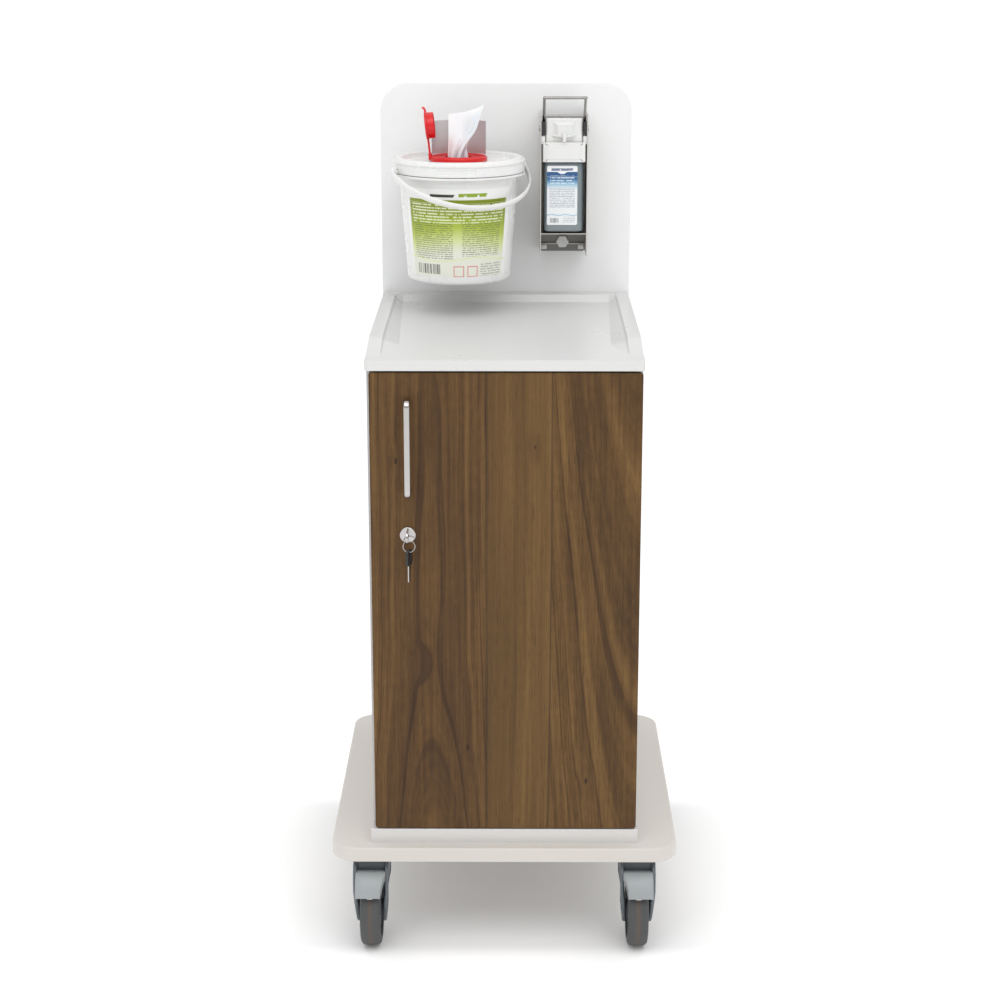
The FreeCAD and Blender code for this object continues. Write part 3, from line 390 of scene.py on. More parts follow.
def greeked(f, across, up, rows, pitch, seed):
    """1 on short grey dashes that stand for lines of small print."""
    row = up / pitch
    line = near(row - row.floor(), 0.5, 0.22, 0.12)
    words = f.spot(across * 160.0, row.floor() * 7.3, seed)
    ink = f.step(f.noise(rows, 2.0, 0.6, words), 0.40, 0.47)
    return line * ink


def patch(across, up, x, z, half_x, half_z, soft=0.0004):
    return near(across, x, half_x, soft) * near(up, z, half_z, soft)


def label_print(name, centre):
    """Bucket label: white head, green field that fades out, and unreadable lines."""
    f = Finish(name, Coat_Weight=0.15)
    x, y, z = f.at(0) - centre.x, f.at(1) - centre.y, f.at(2) - centre.z
    around = x.bend(0.0 - y) * 0.096
    cloud = f.noise(9.0, 3.0)
    fibre = f.noise(260.0, 2.0)
    fall = f.step(z + (cloud - 0.5) * 0.012 + abs(around) * 0.16, 0.150, 0.050)
    green = f.ramp(fall, (0.0, (0.210, 0.260, 0.003)), (0.24, (0.270, 0.350, 0.006)),
                   (0.52, (0.400, 0.490, 0.060)), (0.80, (0.600, 0.660, 0.300)), (1.0, (0.72, 0.73, 0.64)))
    white = (0.80, 0.805, 0.79)
    field = near(around, 0.0, 0.0915, 0.0004) * f.step(z, 0.1468, 0.1462)
    tone = f.mix(field, white, green)
    bands = patch(around, z, 0.0, 0.1405, 0.0915, 0.0003) + patch(around, z, 0.0, 0.1285, 0.0915, 0.0003)
    tone = f.mix((bands * 0.6).capped(), tone, (0.80, 0.86, 0.60))
    head = patch(around, z, -0.024, 0.1535, 0.022, 0.0024) * f.step(f.noise(55.0, 2.0), 0.36, 0.42)
    tone = f.mix(head, tone, (0.03, 0.03, 0.03))
    title = patch(around, z, 0.026, 0.1545, 0.024, 0.0030) * f.step(f.noise(75.0, 2.0), 0.36, 0.42)
    tone = f.mix(title, tone, (0.24, 0.34, 0.01))
    pale = greeked(f, around, z, 1.6, 0.0050, 2.0) * patch(around, z, 0.0, 0.124, 0.085, 0.017)
    tone = f.mix((pale * 0.75).capped(), tone, (0.88, 0.92, 0.70))
    left = greeked(f, around, z, 2.2, 0.0037, 5.0) * patch(around, z, -0.046, 0.075, 0.038, 0.031)
    right = greeked(f, around, z, 2.2, 0.0037, 9.0) * patch(around, z, 0.044, 0.078, 0.036, 0.028)
    tone = f.mix(((left + right) * 0.72).capped(), tone, (0.10, 0.13, 0.06))
    bars = f.noise(1.0, 0.0, 0.5, f.spot(around * 900.0)) > 0.5
    code = bars * patch(around, z, -0.056, 0.0275, 0.024, 0.0085)
    tone = f.mix(code, tone, (0.05, 0.05, 0.05))
    swash = near(z - (around * 46.0).sine() * 0.0032, 0.0445, 0.0008, 0.0007)
    tone = f.mix(swash * 0.7, tone, (0.62, 0.72, 0.20))
    chips = patch(around, z, 0.002, 0.024, 0.0095, 0.0095) + patch(around, z, 0.027, 0.024, 0.0095, 0.0095)
    holes = patch(around, z, 0.002, 0.024, 0.0078, 0.0078) + patch(around, z, 0.027, 0.024, 0.0078, 0.0078)
    tone = f.mix(((chips - holes) * 0.8).capped(), tone, (0.62, 0.10, 0.10))
    notes = greeked(f, around, z, 1.1, 0.0042, 13.0) * patch(around, z, 0.064, 0.026, 0.022, 0.013)
    tone = f.mix((notes * 0.6).capped(), tone, (0.12, 0.12, 0.14))
    return f.give(Base_Color=tone, Roughness=0.34 + cloud * 0.10, Normal=f.bump(fibre, 0.00002))


def flask_print(name, x_mid, z0, z1):
    """Bottle label: white head, blue band that fades to white, and unreadable lines."""
    f = Finish(name)
    x, z = f.at(0) - x_mid, (f.at(2) - z0) / (z1 - z0)
    cloud = f.noise(30.0, 3.0)
    blue = f.ramp(z, (0.0, (0.80, 0.82, 0.83)), (0.60, (0.78, 0.81, 0.84)), (0.70, (0.27, 0.47, 0.62)),
                  (0.76, (0.055, 0.180, 0.370)), (0.80, (0.020, 0.095, 0.250)),
                  (0.895, (0.020, 0.085, 0.230)))
    tone = f.mix(f.step(z - near(x, 0.0, 0.006, 0.004) * -0.035, 0.895, 0.902), blue, (0.83, 0.84, 0.85))
    line = near(z, 0.815, 0.004, 0.002) * 0.8
    tone = f.mix(line, tone, (0.42, 0.56, 0.68))
    z_real = f.at(2) - z0
    blot = patch(x, z_real, 0.0, 0.0965, 0.019, 0.0022) * f.step(f.noise(160.0, 2.0), 0.38, 0.44)
    tone = f.mix(blot * 0.85, tone, (0.05, 0.09, 0.20))
    title = greeked(f, x, z_real, 2.4, 0.0047, 3.0) * patch(x, z_real, 0.0, 0.079, 0.021, 0.0075)
    tone = f.mix((title * 0.8).capped(), tone, (0.70, 0.80, 0.88))
    small = greeked(f, x, z_real, 3.0, 0.0030, 6.0) * patch(x, z_real, 0.0, 0.047, 0.022, 0.0175)
    tone = f.mix((small * 0.65).capped(), tone, (0.12, 0.16, 0.22))
    wave = near(z_real - (x * 260.0).sine() * 0.0009, 0.0175, 0.0007, 0.0008)
    tone = f.mix(wave * 0.8, tone, (0.13, 0.36, 0.56))
    bars = f.noise(1.0, 0.0, 0.5, f.spot(x * 2600.0)) > 0.5
    tone = f.mix(bars * patch(x, z_real, -0.0135, 0.0080, 0.0075, 0.0040), tone, (0.04, 0.04, 0.05))
    notes = greeked(f, x, z_real, 3.0, 0.0032, 11.0) * patch(x, z_real, 0.012, 0.0095, 0.0105, 0.0050)
    tone = f.mix((notes * 0.6).capped(), tone, (0.12, 0.14, 0.18))
    return f.give(Base_Color=tone, Roughness=0.30 + cloud * 0.12, Normal=f.bump(f.noise(500.0, 2.0), 0.00001))


# ---- modelling ----
def fresh():
    bpy.ops.object.select_all(action="DESELECT")


def shaping(name):
    """Settles the shape just added into its mesh and opens it for editing."""
    obj = bpy.context.active_object
    obj.name = obj.data.name = name
    bpy.ops.object.transform_apply(location=True, rotation=True, scale=True)
    bpy.ops.object.mode_set(mode="EDIT")
    return obj


def shaped():
    bpy.ops.object.mode_set(mode="OBJECT")


def start_block(name, low, high):
    low, high = Vector(low), Vector(high)
    fresh()
    bpy.ops.mesh.primitive_cube_add(size=1.0, location=(low + high) / 2, scale=high - low)
    return shaping(name)


def start_rod(name, radius, end, other, sides=40):
    """A round bar between two points on a line along x, y or z."""
    end, other = Vector(end), Vector(other)
    way = other - end
    turn = way.to_track_quat("Z", "Y").to_euler()
    fresh()
    bpy.ops.mesh.primitive_cylinder_add(vertices=sides, radius=radius, depth=way.length,
                                        location=(end + other) / 2, rotation=turn)
    return shaping(name)


def everything():
    bpy.ops.mesh.select_mode(type="VERT")
    bpy.ops.mesh.select_all(action="SELECT")


def pick(kind, test):
    """Selects the points, edges or faces that pass a test."""
    bpy.ops.mesh.select_mode(type=kind)
    bpy.ops.mesh.select_all(action="DESELECT")
    mesh = bmesh.from_edit_mesh(bpy.context.object.data)
    for part in {"VERT": mesh.verts, "EDGE": mesh.edges, "FACE": mesh.faces}[kind]:
        if test(part):
            part.select_set(True)
    mesh.select_flush_mode()
    bmesh.update_edit_mesh(bpy.context.object.data)


def halfway(edge):
    return (edge.verts[0].co + edge.verts[1].co) / 2


def runs(edge, axis):
    way = edge.verts[1].co - edge.verts[0].co
    return abs(way[axis]) > 0.999 * way.length


def slice_at(place, normal):
    everything()
    bpy.ops.mesh.bisect(plane_co=place, plane_no=normal)


def shift(x=0.0, y=0.0, z=0.0):
    bpy.ops.transform.translate(value=(x, y, z))


def swell(x, y, z, about):
    bpy.ops.transform.resize(value=(x, y, z), center_override=about)


def turn(angle, axis, about):
    """Turns what is selected by degrees, counted as a right-handed screw."""
    bpy.ops.transform.rotate(value=-math.radians(angle), orient_axis=axis, orient_type="GLOBAL",
                             center_override=about)


def tidy_faces():
    everything()
    bpy.ops.mesh.remove_doubles(threshold=1e-6)
    bpy.ops.mesh.normals_make_consistent(inside=False)


def round_edges(test, width, steps):
    pick("EDGE", test)
    bpy.ops.mesh.bevel(offset=width, segments=steps)


def inset(width, **more):
    bpy.ops.mesh.inset(thickness=width, **more)


def pull(x, y, z):
    """Draws out what is selected."""
    bpy.ops.mesh.extrude_region_move(TRANSFORM_OT_translate={"value": (x, y, z)})


def traced(name, spots):
    """A line of edges through the spots, left selected and open for editing."""
    fresh()
    bpy.ops.mesh.primitive_plane_add(size=0.001, location=spots[0])
    obj = shaping(name)
    everything()
    bpy.ops.mesh.merge(type="CENTER")
    for spot, following in zip(spots, spots[1:]):
        pull(*(b - a for a, b in zip(spot, following)))
    everything()
    return obj


def spun(centre, axis, steps, sweep=360.0):
    """Sweeps the line round an axis and closes the seam."""
    bpy.ops.mesh.spin(steps=steps, angle=math.radians(sweep), center=centre, axis=axis)
    everything()
    bpy.ops.mesh.remove_doubles(threshold=2e-5)
    bpy.ops.mesh.normals_make_consistent(inside=False)


def lathe(name, profile, centre, steps=96, first=0.0, sweep=360.0):
    """Spins a line of (radius, height) points about the upright through centre."""
    obj = traced(name, [(centre[0] + r, centre[1], centre[2] + z) for r, z in profile])
    if first:
        turn(-first, "Z", centre)
    spun(centre, (0, 0, 1), steps, sweep)
    return obj


def outline(name, points, x0, x1):
    """A flat shape through (y, z) points at x0, drawn out to x1."""
    obj = traced(name, [(x0, y, z) for y, z in points])
    bpy.ops.mesh.edge_face_add()
    everything()
    pull(x1 - x0, 0, 0)
    tidy_faces()
    return obj


def alone(obj):
    fresh()
    obj.select_set(True)
    bpy.context.view_layer.objects.active = obj


def reopened(obj):
    """Selects the whole of a finished shape for more editing."""
    alone(obj)
    bpy.ops.object.mode_set(mode="EDIT")
    everything()


def modify(obj, kind, **settings):
    """Adds a modifier and applies it."""
    modifier = obj.modifiers.new(kind.lower(), kind)
    for key, value in settings.items():
        setattr(modifier, key, value)
    alone(obj)
    bpy.ops.object.modifier_apply(modifier=modifier.name)


def soften(obj, width, steps=3, over=30.0):
    """Leaves editing and rounds every edge that is sharper than some degrees."""
    shaped()
    modify(obj, "BEVEL", width=width, segments=steps, limit_method="ANGLE", angle_limit=math.radians(over))


def join(first, *others):
    fresh()
    for obj in (first, *others):
        obj.select_set(True)
    bpy.context.view_layer.objects.active = first
    bpy.ops.object.join()
    return first


def finish(obj, body, slot, *nodes, angle=40.0, material=None, weigh=True):
    """Smooths a piece, gives it its finish, and puts it on its body."""
    alone(obj)
    bpy.ops.object.shade_smooth_by_angle(angle=math.radians(angle))
    if weigh:
        modify(obj, "WEIGHTED_NORMAL", keep_sharp=True)
    obj.data.materials.clear()
    obj.data.materials.append(material or FINISH[slot])
    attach(obj, body)
    if nodes:
        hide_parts(*nodes)
    return obj


def scaled(points, unit=0.001):
    return [tuple(value * unit for value in point) for point in points]


# ---- tray ----
RIM_DROP = 0.013
RIM_WIDE = 0.022
RIM_WALL = 0.0025


def tray():
    """Moulded top: a flat floor inside three rims, open at the front."""
    low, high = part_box("tray_top")
    rim = high.x - RIM_WIDE
    wall = rim - RIM_WALL
    slope = high.x - 0.036
    foot, knee, crest = low.y + 0.051, low.y + 0.120, low.y + 0.140
    back, back_rim = high.y - 0.039, high.y - 0.031
    obj = start_block("tray_moulding", low, high)
    for x in (rim, wall, slope):
        slice_at((x, 0, 0), (1, 0, 0))
        slice_at((-x, 0, 0), (1, 0, 0))
    for y in (foot, knee, crest, back, back_rim):
        slice_at((0, y, 0), (0, 1, 0))

    def top(point, x_from, x_to, y_from, y_to):
        inside = x_from - 1e-4 < abs(point.co.x) < x_to + 1e-4 and y_from - 1e-4 < point.co.y < y_to + 1e-4
        return inside and point.co.z > high.z - 1e-4

    for zone, drop in (((0, slope, low.y, back), RIM_DROP), ((wall, high.x, low.y, foot), RIM_DROP),
                       ((wall, wall, knee, knee), 0.0075), ((rim, high.x, knee, knee), 0.0029),
                       ((wall, wall, crest, back), 0.0045)):
        pick("VERT", lambda p: top(p, *zone))
        shift(z=-drop)
    for side in (-1, 1):
        for y, move in ((foot, wall - slope), (knee, -0.013), (crest, -0.0124)):
            pick("VERT", lambda p: abs(p.co.x - side * slope) < 1e-4 and abs(p.co.y - y) < 1e-4)
            shift(x=side * move)
    tidy_faces()

    def front_corner(edge):
        spot = halfway(edge)
        return runs(edge, 2) and spot.y < low.y + 1e-4 and abs(spot.x) > high.x - 1e-4

    round_edges(front_corner, 0.006, 4)
    soften(obj, 0.0009, 2, 12.0)
    finish(obj, "cabinet", "tray_shell", "tray_top", angle=30.0)


# ---- wipes bucket ----
def bucket_place():
    low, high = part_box("bucket_shell")
    return Vector(((low.x + high.x) / 2, (low.y + high.y) / 2, low.z))


BAIL_LEVEL = 0.188
BAIL_YAW = -25.0
BAIL_FALL = 26.0
TAB_HALF = math.radians(17.8)


def strap_ends():
    """The middle of the strap's axle and the two ways out from it."""
    yaw = math.radians(BAIL_YAW)
    ways = [Vector((side * math.cos(yaw), -side * math.sin(yaw), 0)) for side in (-1, 1)]
    return bucket_place() + Vector((0, 0, BAIL_LEVEL)), ways


def bucket():
    c = bucket_place()
    profile = scaled([(0, 1.2), (76, 1.2), (79, 0), (83, 0), (86.4, 1.6), (88.5, 5), (89.3, 13),
                      (95.4, 90), (102.1, 176), (102.4, 179.4), (103, 179.9), (111.8, 179.9),
                      (113.2, 180.1), (114, 180.9), (114, 183.2), (113.2, 184), (106.4, 184.4),
                      (105.4, 186), (104.5, 197), (103.6, 198), (102.6, 198), (101.6, 197), (100.4, 178),
                      (93.4, 90), (87.2, 13), (84, 3.2), (0, 3.2)])
    obj = lathe("bucket_body", profile, c, steps=128)
    shaped()
    hubs = []
    level, ways = strap_ends()
    for way in ways:
        hub = start_rod("bail_hub", 0.004, level + way * 0.1030, level + way * 0.1194, 24)
        pick("FACE", lambda f: f.normal.dot(way) > 0.9)
        inset(0.001)
        inset(0.0006, depth=-0.0006)
        shaped()
        hubs.append(hub)
    join(obj, *hubs)
    finish(obj, "bucket", "white_plastic", "bucket_shell", angle=35.0)


def bucket_label():
    """Printed sleeve round the front of the bucket wall."""
    c = bucket_place()
    profile = scaled([(89.75, 15), (95.85, 90), (101.75, 165)])
    obj = lathe("bucket_label", profile, c, steps=72, first=30.0, sweep=120.0)
    shaped()
    modify(obj, "SOLIDIFY", thickness=0.0002, offset=-1.0)
    finish(obj, "bucket", "white_plastic", angle=60.0, material=label_print("bucket_print", c), weigh=False)


def bail():
    """Carrying strap: an oval section spun half round the rim, with eyes at both ends."""
    c = bucket_place() + Vector((0, 0, BAIL_LEVEL))
    reach = 0.124
    fresh()
    bpy.ops.mesh.primitive_circle_add(vertices=14, radius=0.001, fill_type="NGON",
                                      location=(c.x + reach, c.y, c.z), rotation=(math.radians(90), 0, 0))
    obj = shaping("bail_strap")
    everything()
    swell(2.1, 1.0, 5.6, (c.x + reach, c.y, c.z))
    pick("VERT", lambda v: v.co.x > c.x + reach + 0.0014)
    shift(x=0.0007)
    everything()
    bpy.ops.mesh.spin(steps=72, angle=math.pi, center=c, axis=(0, 0, 1))
    everything()
    bpy.ops.mesh.normals_make_consistent(inside=False)
    shaped()
    eyes = []
    for side in (-1, 1):
        disc = start_rod("bail_eye", 0.007, c + Vector((side * (reach - 0.0017), 0, 0)),
                         c + Vector((side * (reach + 0.0017), 0, 0)), 32)
        pick("FACE", lambda f: f.normal.x * side > 0.9)
        inset(0.0016)
        inset(0.0005, depth=0.0007)
        pick("FACE", lambda f: f.normal.x * side < -0.9)
        inset(0.0016)
        pull(-side * 0.0062, 0, 0)
        soften(disc, 0.0004, 2, 40.0)
        eyes.append(disc)
    join(obj, *eyes)
    reopened(obj)
    turn(BAIL_FALL, "X", c)
    turn(-BAIL_YAW, "Z", c)
    shaped()
    finish(obj, "bail", "white_plastic", "bail", angle=40.0)


def lid():
    """Snap lid with a raised double rim round a sunken middle."""
    c = bucket_place()
    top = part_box("bucket_lid")[1].z
    at = Vector((c.x, c.y, top))
    profile = scaled([(30, -8), (88, -8), (92, -7.5), (94.6, -5.6), (96.4, -2.2), (98, -0.6), (100, 0),
                      (106.4, 0), (108.8, -0.4), (110.2, -1.4), (110.9, -2.6), (111.8, -3.1),
                      (113.6, -3.4), (114.8, -4.2), (115.2, -5.4), (115.1, -6.8), (114.6, -7.8),
                      (113.8, -8.3), (113.3, -8.8), (113.5, -9.8), (113.6, -11.4), (113.5, -21.2),
                      (113.4, -23.2), (112.9, -24.3), (112.2, -24.4), (111.8, -23.4), (111.7, -10.4),
                      (109.2, -8.8), (108.2, -3.2), (106.2, -1.8), (100.4, -1.8), (98.4, -3.2),
                      (95.4, -8.6), (93, -9.9), (88, -10.4), (30, -10.4), (30, -8)])
    obj = lathe("lid_shell", profile, at, steps=128)

    def tab_band(face):
        spot = face.calc_center_median() - at
        facing = math.atan2(spot.x, -spot.y)
        return -0.0210 < spot.z < -0.0116 and math.hypot(spot.x, spot.y) > 0.1128 and abs(facing) < TAB_HALF

    pick("FACE", tab_band)
    inset(0.0012, depth=-0.0010)
    shaped()
    level, ways = strap_ends()
    for way in ways:
        cutter = start_rod("lid_notch", 0.0055, level + way * 0.1, level + way * 0.13, 32)
        shaped()
        modify(obj, "BOOLEAN", operation="DIFFERENCE", object=cutter, solver="EXACT")
        bpy.data.objects.remove(cutter)
    finish(obj, "lid", "white_plastic", "bucket_lid", angle=35.0)


def pull_collar():
    c = bucket_place()
    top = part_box("bucket_lid")[1].z
    at = Vector((c.x, c.y, top))
    profile = scaled([(23, -12), (29.4, -12), (29.4, -7.6), (49.4, -7.6), (49.4, -2.2), (49, -0.9), (48, 0.4),
                      (46.6, 0.9), (45, 0.4), (43.8, -1.2), (42, -1.8), (27.6, -1.8), (26.4, -0.8), (25.2, 0),
                      (24, -0.5), (23, -2.2), (23, -12)])
    obj = lathe("collar_ring", profile, at, steps=80)
    shaped()
    hinge = hinge_spot()
    parts = []
    for dy in (-0.009, 0.009):
        spot = hinge + Vector((0, dy, 0))
        reach = Vector((0, 0.0025, 0))
        knuckle = start_rod("knuckle", 0.0026, spot - reach, spot + reach, 24)
        soften(knuckle, 0.0004, 2, 40.0)
        post = start_block("knuckle_post", spot - Vector((0.002, 0.0024, 0.0085)),
                           spot + Vector((0.004, 0.0024, 0)))
        round_edges(lambda e: runs(e, 1) and halfway(e).x > spot.x and halfway(e).z > spot.z - 0.001,
                    0.0025, 3)
        shaped()
        parts += [knuckle, post]
    join(obj, *parts)
    finish(obj, "lid", "red_plastic", "dispenser_collar", angle=35.0)


FLAP_LEAN = 6.0


def hinge_spot():
    c = bucket_place()
    return Vector((c.x - 0.049, c.y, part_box("bucket_lid")[1].z + 0.003))


def flap():
    """Hinged cap: a domed disc with a hollow plug, a strap to the hinge and a thumb tab."""
    h = hinge_spot()
    eye = h + Vector((0, 0, 0.049))
    disc = start_rod("flap_cap", 0.0255, eye - Vector((0.0016, 0, 0)), eye + Vector((0.0016, 0, 0)), 64)
    pick("FACE", lambda f: f.normal.x < -0.9)
    inset(0.003)
    shift(x=-0.0009)
    inset(0.004)
    shift(x=-0.0004)
    pick("FACE", lambda f: f.normal.x > 0.9)
    inset(0.0032)
    pull(0.0115, 0, 0)
    swell(1, 0.985, 0.985, eye)
    inset(0.0022)
    pull(-0.0095, 0, 0)
    soften(disc, 0.0007, 3, 40.0)
    strap = start_block("flap_strap", h + Vector((-0.0016, -0.006, 0)), h + Vector((0.0016, 0.006, 0.028)))
    slice_at(h + Vector((0, 0, 0.008)), (0, 0, 1))
    slice_at(h + Vector((0, 0, 0.020)), (0, 0, 1))
    pick("VERT", lambda v: 0.006 < v.co.z - h.z < 0.022)
    swell(1.0, 0.86, 1.0, h + Vector((0, 0, 0.014)))
    soften(strap, 0.0008, 2, 40.0)
    barrel = start_rod("flap_barrel", 0.0026, h - Vector((0, 0.006, 0)), h + Vector((0, 0.006, 0)), 24)
    soften(barrel, 0.0004, 2, 40.0)
    tab = start_block("flap_tab", eye + Vector((-0.0016, -0.008, 0.021)),
                      eye + Vector((0.0016, 0.008, 0.032)))
    slice_at(eye + Vector((0, 0, 0.0265)), (0, 0, 1))
    pick("VERT", lambda v: v.co.z > eye.z + 0.030)
    shift(x=-0.0032)
    swell(1.5, 0.8, 1.0, eye + Vector((-0.0032, 0, 0.032)))
    soften(tab, 0.0008, 2, 30.0)
    join(disc, strap, barrel, tab)
    reopened(disc)
    turn(-FLAP_LEAN, "Y", h)
    shaped()
    finish(disc, "flap", "red_plastic", "flap", angle=35.0)


def cloth_line(s, t, c, top):
    """Where a spot of the pulled-up wipe lies; s runs across the cloth and t up it."""
    opened = min(1.0, max(0.0, (t - 0.08) / 0.58))
    opened = opened * opened * (3 - 2 * opened)
    pleat = math.sin(s * math.tau * 3.0 + 0.6)
    base_x = -18.5 + 36.0 * s + 1.5 * math.sin(s * math.tau * 6.0)
    base_y = -1.5 + 6.6 * pleat
    turn_over = 0.64
    if s < turn_over:
        k = s / turn_over
        top_x, top_y = -17.0 + 61.0 * k, -4.0 + 3.4 * math.sin(k * math.pi * 1.3) + 2.0 * k
    else:
        k = (s - turn_over) / (1 - turn_over)
        top_x, top_y = 44.0 - 33.0 * k, -2.6 + 6.5 * math.sin(k * math.pi / 2)
    lean = t ** 1.6
    top_x = top_x * (0.50 + 0.50 * lean) if top_x > 0 else top_x
    x = base_x * (1 - opened) + top_x * opened
    y = base_y * (1 - opened) + top_y * opened
    crest = 72.0 + 2.5 * min(1.0, s / 0.3) + 12.5 * max(0.0, 1 - abs(s - turn_over) / 0.40) ** 1.5
    z = -16.0 + (crest + 16.0) * t
    crease = 0.20 + 0.42 * t
    y -= 3.2 * math.exp(-((s - crease) / 0.045) ** 2) * (0.35 + 0.65 * t) * (1 - 0.4 * t)
    y += 1.1 * math.sin(t * 9.0 + s * 5.0) * opened
    return (c.x + x / 1000, c.y + y / 1000, top + z / 1000)


def wipe():
    """The wipe that is ready to pull: gathered in the collar and opening out above it."""
    across, up = 72, 64
    fresh()
    bpy.ops.mesh.primitive_grid_add(x_subdivisions=across, y_subdivisions=up, size=1.0)
    obj = shaping("wipe_cloth")
    mesh = bmesh.from_edit_mesh(obj.data)
    c = bucket_place()
    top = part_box("bucket_lid")[1].z
    for point in mesh.verts:
        point.co = cloth_line(point.co.x + 0.5, point.co.y + 0.5, c, top)
    bmesh.update_edit_mesh(obj.data)
    shaped()
    modify(obj, "SOLIDIFY", thickness=0.0004, offset=0.0)
    modify(obj, "SUBSURF", levels=1, render_levels=1)
    finish(obj, "lid", "wipe_cloth", "wipe_sheet", angle=80.0, weigh=False)
    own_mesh(obj)


def roll():
    """Wound wipes, with soft rounded ends and stepped layers, one quarter of the top pressed a little lower.
    """
    low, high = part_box("wipes_roll")
    c = Vector(((low.x + high.x) / 2, (low.y + high.y) / 2, 0))
    outer, bore = (high.x - low.x) / 2, 0.024
    upper = []
    layers = 22
    for i in range(layers + 1):
        r = outer - 0.0025 - (outer - bore - 0.004) * i / layers
        dip = 0.0012 * (i % 2) + 0.0007 * math.sin(i * 2.1)
        upper.append((r, high.z - 0.0010 - dip))
    profile = [(bore, low.z), (outer - 0.004, low.z), (outer - 0.0008, low.z + 0.003),
               (outer, low.z + 0.010), (outer - 0.0012, (low.z + high.z) / 2), (outer, high.z - 0.010),
               (outer - 0.0008, high.z - 0.003)]
    profile += upper + [(bore, high.z - 0.004), (bore, low.z)]
    obj = lathe("roll_winding", profile, c, steps=96)
    pick("VERT", lambda v: v.co.z > high.z - 0.006 and v.co.x > c.x and v.co.y < c.y)
    shift(z=-0.0008)
    shaped()
    finish(obj, "bucket", "wipe_cloth", "wipes_roll", angle=50.0, weigh=False)


# ---- elbow dispenser ----
def bottle():
    low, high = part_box("bottle")
    shoulder = low.z + 0.122
    obj = start_block("bottle_body", low, (high.x, high.y, shoulder))
    round_edges(lambda e: runs(e, 2), 0.009, 6)
    round_edges(lambda e: not runs(e, 2) and halfway(e).z > shoulder - 1e-4, 0.007, 5)
    round_edges(lambda e: not runs(e, 2) and halfway(e).z < low.z + 1e-4, 0.004, 4)
    pick("FACE", lambda f: f.normal.y < -0.95 and f.calc_area() > 0.001)
    inset(0.004)
    inset(0.0015, depth=-0.0006)
    shaped()
    neck_y = low.y + 0.033
    neck = start_rod("bottle_neck", 0.016, ((low.x + high.x) / 2, neck_y, shoulder - 0.002),
                     ((low.x + high.x) / 2, neck_y, high.z), 48)
    soften(neck, 0.0008, 2, 40.0)
    join(obj, neck)
    finish(obj, "cabinet", "clear_grey", "bottle", angle=35.0)


LABEL_WIDE = 0.053
LABEL_SIDE = -0.0028


def bottle_label():
    low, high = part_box("bottle")
    x = (low.x + high.x) / 2 + LABEL_SIDE
    z0, z1 = low.z + 0.0124, low.z + 0.1154
    half = LABEL_WIDE / 2
    obj = start_block("bottle_label", (x - half, low.y - 0.00035, z0), (x + half, low.y + 0.0004, z1))
    round_edges(lambda e: runs(e, 1), 0.003, 4)
    shaped()
    finish(obj, "cabinet", "white_plastic", angle=40.0, material=flask_print("flask_print", x, z0, z1))


def pump_cover():
    low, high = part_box("pump_cover")
    front = low.y + 0.0012
    obj = start_block("cover_shell", (low.x, front, low.z), (high.x, high.y, high.z))
    round_edges(lambda e: runs(e, 2), 0.0055, 5)
    pick("FACE", lambda f: f.normal.y < -0.95)
    inset(0.0042)
    inset(0.0008, depth=0.0007)
    pick("FACE", lambda f: f.normal.z > 0.95)
    inset(0.0040)
    pull(0, 0, -0.016)
    soften(obj, 0.0007, 2, 35.0)
    finish(obj, "cabinet", "white_plastic", "pump_cover", angle=35.0)


def pump_head():
    """Telescoping push block with a raised square, a curved spout lip and its nozzle."""
    low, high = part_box("pump_head")
    x = (low.x + high.x) / 2
    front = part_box("dispenser_housing")[0].y + 0.002
    obj = start_block("push_block", (low.x, front, low.z + 0.029), (high.x, high.y, high.z))
    round_edges(lambda e: runs(e, 2), 0.0045, 5)
    round_edges(lambda e: not runs(e, 2) and halfway(e).z > high.z - 1e-4, 0.003, 4)
    soften(obj, 0.0006, 2, 35.0)
    base = high.z - 0.024
    boss = start_block("push_boss", (x - 0.0190, front - 0.0012, base - 0.0145),
                       (x + 0.0190, front + 0.004, base + 0.0185))
    pick("FACE", lambda f: f.normal.y < -0.9)
    inset(0.0015)
    pull(0, -0.0062, 0)
    swell(0.60, 1.0, 0.56, (x, front, base + 0.006))
    inset(0.0009)
    shift(y=0.0010)
    soften(boss, 0.0006, 2, 25.0)
    lip_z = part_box("pump_cover")[1].z + 0.0115
    fresh()
    bpy.ops.mesh.primitive_uv_sphere_add(segments=48, ring_count=24, radius=1.0,
                                         scale=(0.0212, 0.0125, 0.0052), location=(x, front + 0.001, lip_z))
    lip = shaping("spout_lip")
    everything()
    bpy.ops.mesh.bisect(plane_co=(x, front + 0.003, lip_z), plane_no=(0, 1, 0), clear_outer=True,
                        use_fill=True)
    pick("VERT", lambda v: v.co.z > lip_z + 0.0012)
    swell(1.0, 0.72, 1.0, (x, front + 0.003, lip_z))
    shaped()
    tip = Vector((x, front - 0.0105, lip_z - 0.0105))
    nozzle = start_rod("spout_nozzle", 0.0042, tip + Vector((0, 0, 0.0160)), tip, 32)
    pick("VERT", lambda v: v.co.z < lip_z)
    swell(0.66, 0.66, 1.0, tip)
    pick("FACE", lambda f: abs(f.normal.z) > 0.9)
    inset(0.0009, depth=-0.0012, use_individual=True)
    soften(nozzle, 0.0004, 2, 40.0)
    stem = start_rod("push_stem", 0.005, (x, front + 0.034, low.z), (x, front + 0.034, low.z + 0.032), 32)
    soften(stem, 0.0005, 2, 40.0)
    join(obj, boss, lip, nozzle, stem)
    finish(obj, "pump_head", "white_plastic", "pump_head", angle=35.0)


